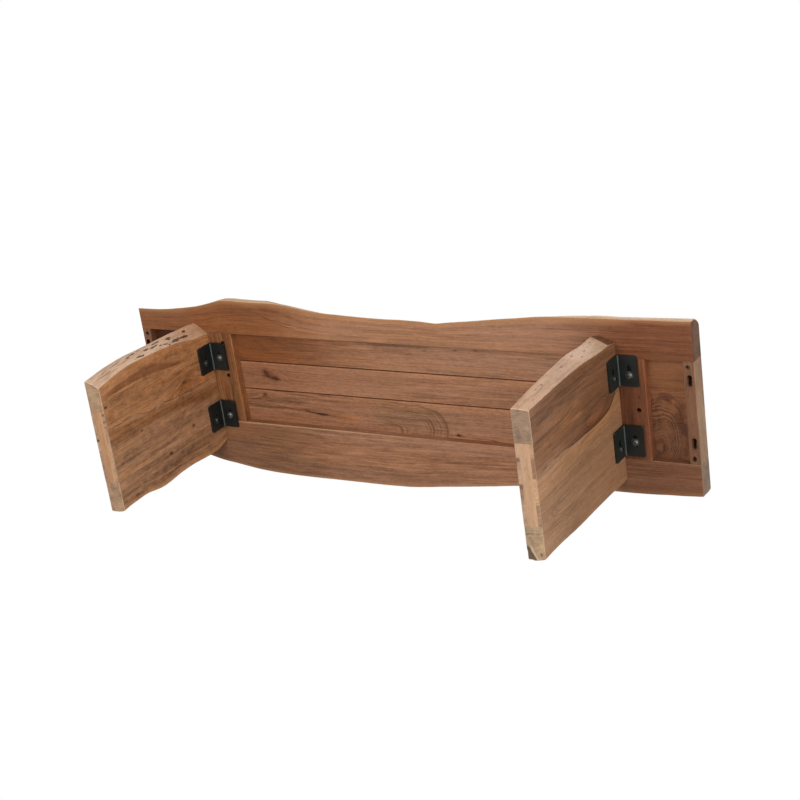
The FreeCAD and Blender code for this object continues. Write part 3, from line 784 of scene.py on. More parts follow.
def wood(name, grain, seed, mid, *, contrast=1.0, ring=100.0, kc=0.45, warp=0.006, c_ring=0.34, c_streak=0.12,
         c_fibre=0.11, c_fine=0.30, c_blotch=0.42, c_mottle=0.17, c_grit=0.34, line=0.46, curl=0.0, flow=False, bumps=(),
         marks=None, reach=None, conv=None, warm=0.45, cool=0.38, sap=None, live=None, end=None, end_blocks=None, end_rows=(), end_lines=0.35,
         chip=False, arris=None, wear=None, rough=(0.46, 0.60), live_pits=0.0, live_streak=0.5, live_head=None, low=None):
    n = Net(name)
    x, y, z = n.coords()
    a, b, c = {"X": (x, y, z), "Y": (y, x, z), "Z": (z, y, x)}[grain]
    s = float(seed)
    # a field whose levels are the growth lines
    w1 = n.noise(n.vec(a * 1.3 + s, b * 6.0 + s * 0.37, c * 6.0), 1.0, 2.0, 0.5)
    w2 = n.noise(n.vec(a * 5.5 + s * 1.3, b * 26.0, c * 26.0 + s), 1.0, 2.0, 0.55)
    f = (n.attr("flow") if flow else b) + c * kc + (w1 - 0.5) * (2.4 * warp) + (w2 - 0.5) * (1.1 * warp)
    for (ba, bb, la, lb, amp) in bumps:
        da, db = a - ba, b - bb
        u, v = da * (1.0 / la), db * (1.0 / lb)
        f = f + n.math("POWER", 2.71828, (u * u + v * v) * -1.0) * amp
    # plain stretches lie between busy ones
    busy = n.smooth(n.noise(n.vec(a * 2.4 + s * 0.9, f * 15.0, c * 6.0 + s), 1.0, 2.0, 0.5), 0.38, 0.62, 0.35, 1.40)
    rings = n.noise1(f * ring + s * 3.7, 1.0, 3.0, 0.6)
    blotch = n.noise(n.vec(a * 3.0 + s * 1.7, f * 21.0, c * 9.0 + s), 1.0, 2.5, 0.5)
    streak = n.noise(n.vec(a * 9.0 + s, f * 150.0, c * 70.0), 1.0, 2.0, 0.55)
    fibre = n.noise(n.vec(a * 16.0 + s * 0.6, f * 440.0, c * 260.0), 1.0, 2.0, 0.55)
    hair = n.noise(n.vec(a * 24.0 + s * 0.9, f * 1350.0, c * 700.0), 1.0, 2.0, 0.6)
    grit = n.noise(n.vec(a * 95.0 + s * 1.1, f * 240.0, c * 160.0), 1.0, 2.0, 0.6)
    mottle = n.noise(n.vec(a * 34.0 + s, f * 60.0, c * 60.0), 1.0, 3.0, 0.6)
    pore = n.noise(n.vec(a * 60.0, f * 1250.0, c * 1250.0 + s), 1.0, 1.0, 0.5)
    lively = ((n.smooth(streak, 0.36, 0.64) - 0.5) * (c_streak * contrast) + (rings - 0.5) * (c_ring * contrast)
              + (n.smooth(fibre, 0.34, 0.66) - 0.5) * (c_fibre * contrast))
    v = ((blotch - 0.5) * (c_blotch * contrast) + lively * busy + (hair - 0.5) * (c_fine * contrast)
         + (mottle - 0.5) * (c_mottle * contrast) + (grit - 0.5) * (c_grit * contrast) + 0.5)
    if curl:
        cu = n.noise(n.vec(a * 62.0 + (w2 - 0.5) * 5.0, f * 9.0, s), 1.0, 2.0, 0.5)
        v = v + (cu - 0.5) * curl
    col = n.ramp(v, [(0.16, tone(mid, 0.66, 0.03)), (0.5, mid), (0.84, tone(mid, 1.22, -0.04))])
    # warm and cool drifts along the board
    d1 = n.noise(n.vec(a * 1.7 + s * 2.3, f * 24.0 + 5.0, c * 6.0), 1.0, 3.0, 0.55)
    col = n.tint(n.smooth(d1, 0.48, 0.66, 0.0, warm), col, (1.13, 1.02, 0.78))
    d2 = n.noise(n.vec(a * 1.6 + s * 3.1, f * 36.0 + 9.0, c * 6.0), 1.0, 3.0, 0.6)
    col = n.tint(n.smooth(d2, 0.51, 0.66, 0.0, cool), col, (0.70, 0.69, 0.70))
    # thin late-growth lines that come and go, each with a pale early side
    gate = n.noise(n.vec(a * 4.0 + s * 0.7, f * 40.0, 2.0), 1.0, 2.0, 0.55)
    lw = n.noise1(f * ring * 1.5 + (s * 5.1 + 11.0), 1.0, 2.0, 0.5)
    open_ = n.smooth(gate, 0.44, 0.57)
    lm = n.smooth(n.abs(lw - 0.5) + (fibre - 0.5) * 0.03, 0.004, 0.034, 1.0, 0.0) * open_
    col = n.tint(lm * line, col, (0.46, 0.38, 0.34))
    pale = n.smooth(n.abs(lw - 0.57), 0.006, 0.040, 1.0, 0.0) * open_
    col = n.tint(pale * (line * 0.5), col, (1.30, 1.22, 1.10))
    fl = n.noise(n.vec(a * 17.0 + s * 4.1, f * 210.0, c * 90.0), 1.0, 2.0, 0.55)
    col = n.tint(n.smooth(fl, 0.63, 0.72, 0.0, 0.32 * contrast), col, (0.58, 0.49, 0.44))
    col = n.tint(n.smooth(pore, 0.58, 0.72, 0.0, 0.5), col, (0.45, 0.38, 0.33))
    if marks is not None:
        mk = Marks(n, a, b, col, conv, s, fibre, reach)
        if low is not None:
            mk.low = n.smooth(z, UNDER + low, UNDER + low + 0.004, 1.0, 0.0)
        marks(mk)
        col = mk.col
    height = fibre * 0.4 + hair * 0.4 + n.smooth(pore, 0.58, 0.74, 0.0, -0.7) + streak * 0.3
    if sap is not None:
        scol, width, amt = sap
        ed = n.attr("edge")
        sm = n.smooth(ed + (w2 - 0.5) * (width * 1.5) + (streak - 0.5) * (width * 0.8), 0.0, width, amt, 0.0)
        col = n.mix(sm, col, n.mix(0.35, scol, col))
    if wear is not None:
        wn = n.noise(n.vec(x * 70.0 + s, y * 150.0, z * 150.0), 1.0, 3.0, 0.65)
        wm = n.smooth(z + (wn - 0.5) * 0.010, 0.0, 0.0032, 1.0, 0.0)
        col = n.mix(wm * n.smooth(wn, 0.36, 0.56, 0.25, 1.0) * 0.75, col, wear)
    if end is not None:
        nrm = n.normal()[{"X": 0, "Y": 1, "Z": 2}[grain]]
        em = n.smooth(n.abs(nrm), 0.62, 0.90)
        er = n.noise(n.vec(b * 22.0 + s, c * 22.0, 3.0), 1.0, 3.0, 0.55)
        ef = b + c * 0.25 + (er - 0.5) * 0.022
        e1 = n.noise1(ef * 230.0 + s * 1.9, 1.0, 3.0, 0.6)
        e2 = n.noise(n.vec(b * 620.0, c * 620.0, s), 1.0, 2.0, 0.6)
        e3 = n.noise(n.vec(b * 46.0 + s, c * 46.0, s), 1.0, 3.0, 0.6)
        ev = (e1 - 0.5) * 0.40 + (e2 - 0.5) * 0.45 + (e3 - 0.5) * 0.95 + 0.5
        ec = n.ramp(ev, [(0.18, tone(end, 0.68, -0.02)), (0.5, end), (0.84, tone(end, 1.17, 0.0))])
        e5 = n.noise(n.vec(b * 30.0 + s * 2.0, c * 40.0, s), 1.0, 2.0, 0.5)
        ec = n.tint(n.smooth(e5, 0.52, 0.66, 0.0, 0.55), ec, (0.80, 0.72, 0.70))
        cracks = n.smooth(n.abs(n.noise1(ef * 110.0 + s * 7.7, 1.0, 2.0, 0.6) - 0.5), 0.0, 0.016, 1.0, 0.0)
        ec = n.tint(cracks * n.smooth(e3, 0.48, 0.60) * end_lines, ec, (0.40, 0.36, 0.34))
        for (z0, z1, k) in end_rows:
            ec = n.tint(n.smooth(c + (er - 0.5) * 0.006, UNDER + z0, UNDER + z0 + 0.004)
                        * n.smooth(c + (er - 0.5) * 0.006, UNDER + z1 - 0.004, UNDER + z1, 1.0, 0.0), ec, k)
        if end_blocks is not None:
            eb = b + (e2 - 0.5) * 0.006 + (er - 0.5) * 0.010
            for (y0, y1, k) in end_blocks:
                m = n.smooth(eb, Y(y0) - 0.0016, Y(y0) + 0.0016) * n.smooth(eb, Y(y1) - 0.0016, Y(y1) + 0.0016, 1.0, 0.0)
                ec = n.tint(m, ec, k)
        if chip:
            # split-off corner: dark old break with a pale fresh rim
            edge = (b - Y(132.0)) * 0.52 + 0.533 - c + (er - 0.5) * 0.014 + (e2 - 0.5) * 0.005
            far = n.smooth(b + (e3 - 0.5) * 0.02, Y(128.0), Y(134.0))
            ec = n.mix(far * n.smooth(edge, -0.0075, -0.0035) * 0.7, ec, (206, 180, 148))
            ec = n.mix(far * n.smooth(edge, -0.0008, 0.0008) * 0.92, ec,
                       n.ramp(e3 * 0.6 + e2 * 0.4, [(0.3, (58, 48, 40)), (0.7, (112, 92, 76))]))
            da, db = c - 0.5575, b - Y(148.0)
            ec = n.tint(n.smooth(n.math("SQRT", da * da + db * db) + (e2 - 0.5) * 0.004, 0.0020, 0.0042, 0.8, 0.0), ec, (0.3, 0.27, 0.26))
        col = n.mix(em, col, ec)
        height = height * (1.0 - em) + (e2 * 0.6 + e1 * 0.4) * em
    if live is not None:
        lm2 = n.attr("live")
        l1 = n.noise(n.vec(a * 7.0 + s, b * 60.0, c * 170.0), 1.0, 3.5, 0.62)
        l2 = n.noise(n.vec(a * 60.0 + s, b * 160.0, c * 330.0), 1.0, 2.5, 0.62)
        l3 = n.noise(n.vec(a * 8.0 + s * 2.0, b * 20.0, c * 34.0), 1.0, 3.0, 0.55)
        lv = (l1 - 0.5) * 0.55 + (l2 - 0.5) * 0.42 + (l3 - 0.5) * 0.62 + 0.5
        lc = n.ramp(lv, [(0.16, tone(live, 0.70, 0.04)), (0.5, live), (0.84, tone(live, 1.15, -0.03))])
        lc = n.tint(n.smooth(l1, 0.55, 0.64, 0.0, live_streak), lc, (0.60, 0.51, 0.46))
        l5 = n.noise(n.vec(a * 14.0 + s * 5.0, b * 40.0, c * 50.0), 1.0, 3.0, 0.6)
        lc = n.tint(n.smooth(l5, 0.54, 0.68, 0.0, 0.6), lc, (0.80, 0.72, 0.74))
        l4 = n.noise(n.vec(a * 75.0 + s, b * 75.0, c * 160.0), 1.0, 1.0, 0.5)
        lc = n.tint(n.smooth(l4, 0.64, 0.72, 0.0, 0.55) * n.smooth(l3, 0.46, 0.60), lc, (0.45, 0.41, 0.41))
        if live_head is not None:
            lc = n.tint(n.smooth(z + (l3 - 0.5) * 0.08, Z(170), Z(70)), lc, live_head)
        col = n.mix(lm2, col, lc)
        if live_pits:
            pm = n.attr("pit")
            col = n.tint(n.smooth(pm + (l2 - 0.5) * 0.3, 0.02, 0.25, 0.0, 0.74 * live_pits), col, (0.80, 0.64, 0.56))
            col = n.mix(n.smooth(pm + (l2 - 0.5) * 0.5, 0.10, 0.62, 0.0, live_pits), col,
                        n.ramp(l2, [(0.35, (66, 43, 31)), (0.68, (112, 76, 54))]))
        height = height + (l1 + l2 * 0.6) * lm2 * 0.8
    if arris is not None:
        acol, amt = arris
        am = n.attr("arris")
        an = n.noise(n.vec(x * 60.0, y * 60.0, z * 60.0), 1.0, 3.0, 0.6)
        col = n.mix(n.smooth(am * 0.75 + (an - 0.5) * 0.9, 0.30, 0.85, 0.0, amt), col, acol)
    n.set(Base_Color=col, Roughness=n.smooth(fibre * 0.6 + blotch * 0.4, 0.3, 0.7, rough[1], rough[0]))
    n.bsdf.inputs["Specular IOR Level"].default_value = 0.32
    n.bump(height, 0.25, 0.0006)
    return n


def paint(node, n):
    o = nodes[node]
    o.data.materials.clear()
    o.data.materials.append(n.mat)


def dress(ob, n):
    ob.data.materials.clear()
    ob.data.materials.append(n.mat)


LEG = (Z, Y)
LONG = (lambda v: v * 0.001, Y)
CROSS = (Y, lambda v: v * 0.001)
LEFT_X, RIGHT_X, HALF_LEG = -551.5, 546.2, 20.0
LEFT_BRACKETS, RIGHT_BRACKETS = (-55.5, 97.5), (-90.0, 72.5)


# ----------------------------------------------------------------------------
# Marks of each board: natural ones, painted shade and painted highlights
# ----------------------------------------------------------------------------
def left_pocket_shade(mk):
    # painted shade over the pocket at the left end, on the underside only
    mk.tint(mk.n.smooth(mk.a, mk.A(-640), mk.A(-632), 1.0, 0.0) * mk.low, (0.30, 0.24, 0.20))


def front_plank_marks(mk):
    left_pocket_shade(mk)
    mk.drift([(-470, 1.0), (-330, 0.9), (-60, 0.1), (60, 0.0)], (0.58, 0.39, 0.21))
    mk.drift([(-420, 0.0), (-330, 1.0), (-20, 1.0), (120, 0.0)], (0.98, 0.94, 0.88))
    # greyer patches and a faint dark line against the front board: partly dark figure, partly painted shade under the
    # board's arris
    mk.tint(mk.spot(15, -108, 110, 12), (0.72, 0.74, 0.73), 0.6)
    mk.tint(mk.spot(-12, -101, 90, 8), (0.70, 0.72, 0.71), 0.6)
    mk.tint(mk.spot(210, -100, 120, 9), (0.80, 0.78, 0.76), 0.6)
    mk.tint(mk.line([(-60, -108), (0, -106), (60, -106)], 1.2, 2.2, 30.0, 5.0, 0.8), (0.58, 0.54, 0.52), 0.5)
    mk.tint(mk.line([(40, -96), (80, -95), (159, -101), (213, -103), (272, -102), (420, -95), (470, -92)], 1.0, 2.0, 50.0, 6.0, 0.8),
            (0.58, 0.52, 0.49), 0.5)
    for pts, amt in (([(-459, -96), (-360, -92), (-240, -93), (-120, -88), (-10, -88)], 0.5), ([(-459, -78), (-340, -74), (-200, -76), (-60, -70)], 0.5),
                     ([(-440, -60), (-300, -57), (-150, -60), (0, -55), (110, -57)], 0.5), ([(60, -74), (160, -78), (280, -75), (420, -70)], 0.45),
                     ([(120, -56), (240, -60), (360, -56), (470, -54)], 0.45)):
        mk.tint(mk.line(pts, 0.8, 1.6, 60.0, 5.0, 0.7), (0.56, 0.46, 0.41), amt)
    mk.knot(159, -102.5, 4.0, 1.6, amt=0.4)
    mk.knot(213, -104.5, 5.0, 1.8, amt=0.5)
    mk.knot(78, -96.0, 6.0, 1.6, amt=0.35)
    # painted shade over the pocket at the right end, on the underside only
    mk.tint(mk.n.smooth(mk.a, mk.A(622), mk.A(632)) * mk.low, (0.705, 0.565, 0.41))
    mk.seam(-40.0, 600)


def middle_plank_marks(mk):
    left_pocket_shade(mk)
    mk.drift([(-470, 1.0), (-330, 0.8), (-150, 0.2), (0, 0.0)], (0.94, 0.86, 0.80))
    mk.tint(mk.line([(-459, -8), (-430, -5.5), (-413, -4), (-392, -3), (-376, 0), (-345, 5), (-300, 7)], 0.9, 1.5, 30.0, 2.0, 0.3), (0.50, 0.42, 0.37), 0.75)
    mk.tint(mk.line([(-352, -22), (-347, -20.5), (-328, -9.7), (-314, 3.0), (-300, 4.6), (-276, 4.8), (-240, 5.5)], 0.9, 1.5, 15.0, 1.5, 0.3), (0.52, 0.43, 0.38), 0.7)
    for pts, amt in (([(-459, -28), (-400, -25), (-330, -20), (-250, -17), (-150, -14)], 0.55), ([(-459, 16), (-400, 17), (-340, 19), (-260, 20)], 0.55),
                     ([(-300, -4), (-200, 2), (-90, 4), (20, 2)], 0.5), ([(-160, -26), (-40, -22), (80, -24), (200, -20)], 0.5),
                     ([(-60, 18), (60, 20), (190, 16), (300, 18)], 0.5), ([(120, 4), (220, 6), (330, 2), (440, 4)], 0.45)):
        mk.tint(mk.line(pts, 0.8, 1.6, 50.0, 4.0, 0.7), (0.56, 0.46, 0.41), amt)
    # small cluster of knots
    mk.tint(mk.spot(-376, -5, 32, 15, 0.25), (0.64, 0.52, 0.45), 0.85)
    mk.knot(-387, -11.0, 7.0, 5.2, 0.1, 0.66)
    mk.knot(-391, -17.0, 5.0, 2.8, 0.0, 0.5)
    mk.knot(-383, -4.0, 7.0, 3.2, 0.0, 0.6)
    mk.knot(-363, 1.5, 11.0, 5.0, 0.08, 0.74)
    mk.knot(-353, 4.0, 6.0, 2.6, 0.0, 0.5)
    pocket_marks(mk)
    mk.seam(-40.0, 600)
    mk.seam(33.3, 600)


def pocket_marks(mk):
    """Swirl round a limb near the right end, laid over painted shade that darkens the whole pocket; it runs on from
    plank to plank.
    """
    n = mk.n
    wob = n.noise(n.vec(mk.a * 24.0, mk.b * 24.0, 5.0), 1.0, 2.0, 0.55) - 0.5
    slow = n.noise(n.vec(mk.a * 30.0, mk.b * 26.0, 9.0), 1.0, 2.0, 0.5)
    fine = n.noise(n.vec(mk.a * 230.0, mk.b * 230.0, 7.0), 1.0, 2.0, 0.6)
    rho, th = mk.eye(641, 100, [(-110, 118), (-90, 127), (-77, 131), (-57, 108), (-30, 76), (13, 56), (60, 48), (110, 44)])
    ring = rho + wob * 0.20 + (fine - 0.5) * 0.03
    here = n.smooth(mk.a, mk.A(616), mk.A(624)) * mk.low
    on = here * n.smooth(ring, 0.90, 1.18, 1.0, 0.0) * n.smooth(mk.b, mk.B(-38), mk.B(-33))
    r = n.noise1(ring * 22.0, 1.0, 3.0, 0.62)
    # painted shade over the whole pocket, on the underside only
    mk.tint(here, (0.77, 0.66, 0.56))
    mk.blend(on, n.ramp(r * 0.46 + fine * 0.24 + slow * 0.30,
                        [(0.38, (70, 45, 32)), (0.46, (104, 68, 48)), (0.55, (142, 95, 65)), (0.70, (122, 80, 56))]), 0.85)
    gold = n.smooth(r, 0.46, 0.62) * n.smooth(th, -1.95, -1.55) * n.smooth(th, -1.15, -0.70, 1.0, 0.0) * n.smooth(slow, 0.40, 0.58)
    mk.tint(on * gold * n.smooth(rho, 0.35, 0.50), (1.48, 1.38, 1.14), 0.70)
    mk.tint(on * n.smooth(rho + wob * 0.3, 0.72, 0.92) * n.smooth(slow, 0.62, 0.46), (0.62, 0.53, 0.52), 0.8)
    mk.tint(on * n.smooth(th, -0.55, 0.1) * n.smooth(r, 0.42, 0.52, 1.0, 0.0), (0.62, 0.54, 0.50), 0.7)
    mk.tint(here * n.smooth(n.abs(ring - 0.17), 0.02, 0.07, 1.0, 0.0), (0.55, 0.50, 0.52), 0.8)
    mk.tint(here * n.smooth(ring, 0.0, 0.12, 1.0, 0.0), (0.85, 0.90, 1.0), 0.8)


def rear_plank_marks(mk):
    n = mk.n
    left_pocket_shade(mk)
    mk.drift([(-470, 1.0), (-300, 0.9), (-40, 0.25), (120, 0.0)], (0.80, 0.73, 0.64))
    mk.tint(mk.line([(-392, 68), (-330, 79), (-290, 83), (-250, 86), (-222, 88), (-160, 92)], 1.0, 1.6, 35.0, 2.0), (0.46, 0.35, 0.30), 0.8)
    for pts, amt in (([(-360, 56), (-300, 66), (-240, 72), (-150, 78)], 0.55), ([(-400, 88), (-320, 98), (-220, 104), (-120, 107)], 0.55),
                     ([(-459, 60), (-400, 63), (-340, 70), (-280, 75)], 0.5), ([(-459, 76), (-420, 80), (-360, 90), (-300, 95)], 0.5),
                     ([(-459, 100), (-380, 106), (-300, 110), (-220, 113)], 0.5), ([(-300, 48), (-200, 50), (-90, 47), (0, 50)], 0.45),
                     ([(180, 60), (280, 64), (380, 62), (470, 66)], 0.45), ([(200, 88), (300, 92), (400, 90), (470, 93)], 0.45)):
        mk.tint(mk.line(pts, 0.8, 1.6, 45.0, 3.0, 0.7), (0.56, 0.45, 0.40), amt)
    mk.tint(mk.band([(-340, 72), (-140, 84)], [(-340, 84), (-140, 98)], (5, 5), 60.0), (0.86, 0.76, 0.72), 0.7)
    mk.knot(-402, 46, 6.5, 3.6, 0.0, 0.75, (74, 44, 30))
    # long dark streak with a forked end
    mk.knot(-262, 85.0, 26.0, 1.7, 0.075, 0.75)
    mk.knot(-238, 87.2, 20.0, 3.7, 0.05, 0.9)
    mk.knot(-281, 81.0, 9.0, 2.2, 0.45, 0.75, halo=0.0)
    mk.tint(mk.spot(-165, 91, 50, 10), (1.16, 1.02, 0.76), 0.6)
    # arched figure that runs out against the rear board
    rho, th = mk.eye(-60, 118, [(-150, 150), (-113, 99), (-76, 83), (-31, 136), (-8.6, 174), (-1, 169), (30, 165)])
    win = n.smooth(th, -2.45, -1.75) * n.smooth(th, 0.0, 0.10, 1.0, 0.0)
    rw = rho + mk.wob * 0.05 + mk.rag * 0.012
    strong = win * n.smooth(th, -2.1, -0.30, 0.10, 1.0) * n.smooth(mk.bead, 0.34, 0.56, 0.40, 1.0)
    zone = n.smooth(rho, 1.00, 1.10, 1.0, 0.0) * n.smooth(rho, 0.15, 0.36) * win
    mk.tint(zone, (0.86, 0.90, 0.87), 0.8)
    for at, half, soft, amt in ((1.0, 0.007, 0.022, 0.76), (0.955, 0.003, 0.018, 0.40), (0.90, 0.004, 0.024, 0.46), (0.845, 0.003, 0.016, 0.42),
                                (0.785, 0.008, 0.020, 0.74), (0.735, 0.006, 0.018, 0.66), (0.68, 0.004, 0.026, 0.36), (0.50, 0.006, 0.040, 0.26),
                                (0.345, 0.004, 0.028, 0.50), (0.275, 0.010, 0.026, 0.85)):
        mk.tint(n.smooth(n.abs(rw - at), half, half + soft, 1.0, 0.0) * strong, (0.50, 0.42, 0.37), amt)
    for at in (0.75, 0.93, 0.31):
        mk.tint(n.smooth(n.abs(rw - at), 0.004, 0.024, 1.0, 0.0) * strong, (1.22, 1.20, 1.10), 0.6)
    mk.knot(140.7, 110, 6.5, 3.2, 0.1, 0.95)
    mk.tint(mk.line([(110, 112), (140, 111), (165, 113)], 1.2, 2.0, 15.0, 1.5), (0.46, 0.36, 0.31), 0.7)
    mk.tint(mk.line([(170, 113), (225, 115.0), (250, 118.0), (275, 120)], 1.6, 1.6, 25.0, 3.0), (0.40, 0.30, 0.26), 0.85)
    pocket_marks(mk)
    mk.seam(33.3, 600)


def front_board_marks(mk):
    mk.drift([(-740, 0.85), (-560, 1.0), (-420, 1.0), (-250, 0.45), (-80, 0.0), (420, 0.0)], (0.64, 0.48, 0.31))
    mk.drift([(330, 0.0), (420, 0.10), (520, 0.7), (600, 1.0), (740, 1.0)], (0.52, 0.36, 0.26))
    for pts, amt in (([(-640, -140), (-560, -146), (-500, -158), (-450, -166), (-390, -168), (-330, -160), (-260, -146), (-180, -138)], 0.6),
                     ([(-640, -128), (-560, -131), (-480, -138), (-420, -141), (-350, -138), (-280, -128)], 0.5),
                     ([(-600, -157), (-540, -165), (-480, -179), (-430, -184), (-370, -184), (-310, -178), (-240, -165)], 0.5),
                     ([(-560, -138), (-500, -148), (-440, -154), (-380, -155), (-320, -149), (-250, -137)], 0.45),
                     ([(-720, -150), (-640, -152), (-580, -156)], 0.5), ([(-730, -136), (-660, -135), (-590, -138)], 0.5),
                     ([(-430, -181), (-396, -180), (-370, -175.4), (-342, -162), (-310, -148.9), (-281, -141.6), (-249, -134.5)], 0.75)):
        mk.tint(mk.line(pts, 1.0, 2.0, 60.0, 4.0, 0.7), (0.58, 0.48, 0.42), amt)
    mk.tint(mk.line([(-370, -188), (-347, -185), (-314, -180.8), (-276, -168), (-238, -158.2), (-206, -154), (-170, -152)], 3.0, 5.0, 40.0, 4.0, 0.6),
            (0.66, 0.54, 0.46), 0.7)
    mk.tint(mk.line([(-390, -156), (-371, -154.8), (-337, -152), (-287, -147.1), (-249, -138.9), (-210, -133.6), (-184, -132.1), (-126, -129.4)], 1.6, 2.4, 30.0, 2.0, 0.4),
            (1.36, 1.24, 1.06), 0.75)


def rear_board_marks(mk):
    mk.drift([(-740, 1.0), (-420, 1.0), (-260, 0.6), (-100, 0.0), (420, 0.0)], (0.68, 0.64, 0.55))
    mk.drift([(420, 0.0), (560, 0.6), (640, 1.0), (740, 1.0)], (0.64, 0.56, 0.50))
    # painted highlight on the arris along the recess, except near the dark knot; the recess wall is darker further
    # along
    n = mk.n
    lip, wall = n.attr("lip"), n.attr("wall")
    arris_highlight = n.curve(mk.a, [(mk.A(p), v) for p, v in ((-470, 1.0), (-100, 0.85), (40, 0.5), (120, 0.1), (190, 0.0), (600, 0.0), (640, 0.25), (720, 0.25))])
    mk.tint(wall * n.smooth(mk.a, mk.A(90), mk.A(150)) * n.smooth(mk.a, mk.A(560), mk.A(610), 1.0, 0.0), (0.66, 0.56, 0.50), 0.8)
    mk.blend(n.smooth(lip + (mk.bead - 0.5) * 0.6 + mk.rag * 0.3, 0.20, 0.75) * arris_highlight, (206, 158, 116), 0.62)
    for pts in ([(-120, 186), (-40, 187), (40, 183), (120, 176)], [(140, 164), (230, 158), (330, 152), (400, 150)],
                [(150, 182), (240, 176), (330, 172), (410, 170)], [(-300, 150), (-200, 153), (-90, 152), (20, 148)],
                [(190, 141), (280, 138), (380, 137), (430, 137)]):
        mk.tint(mk.line(pts, 1.8, 3.4, 60.0, 7.0, 0.8), (0.64, 0.55, 0.51), 0.6)
    for pts in ([(-460, 205), (-380, 214), (-290, 219), (-180, 220)], [(-470, 190), (-380, 197), (-290, 201), (-200, 202)],
                [(-470, 172), (-380, 178), (-280, 182), (-160, 184)], [(-470, 150), (-400, 155), (-320, 160), (-240, 162)]):
        mk.tint(mk.line(pts, 1.2, 2.4, 50.0, 5.0, 0.8), (0.62, 0.54, 0.49), 0.55)


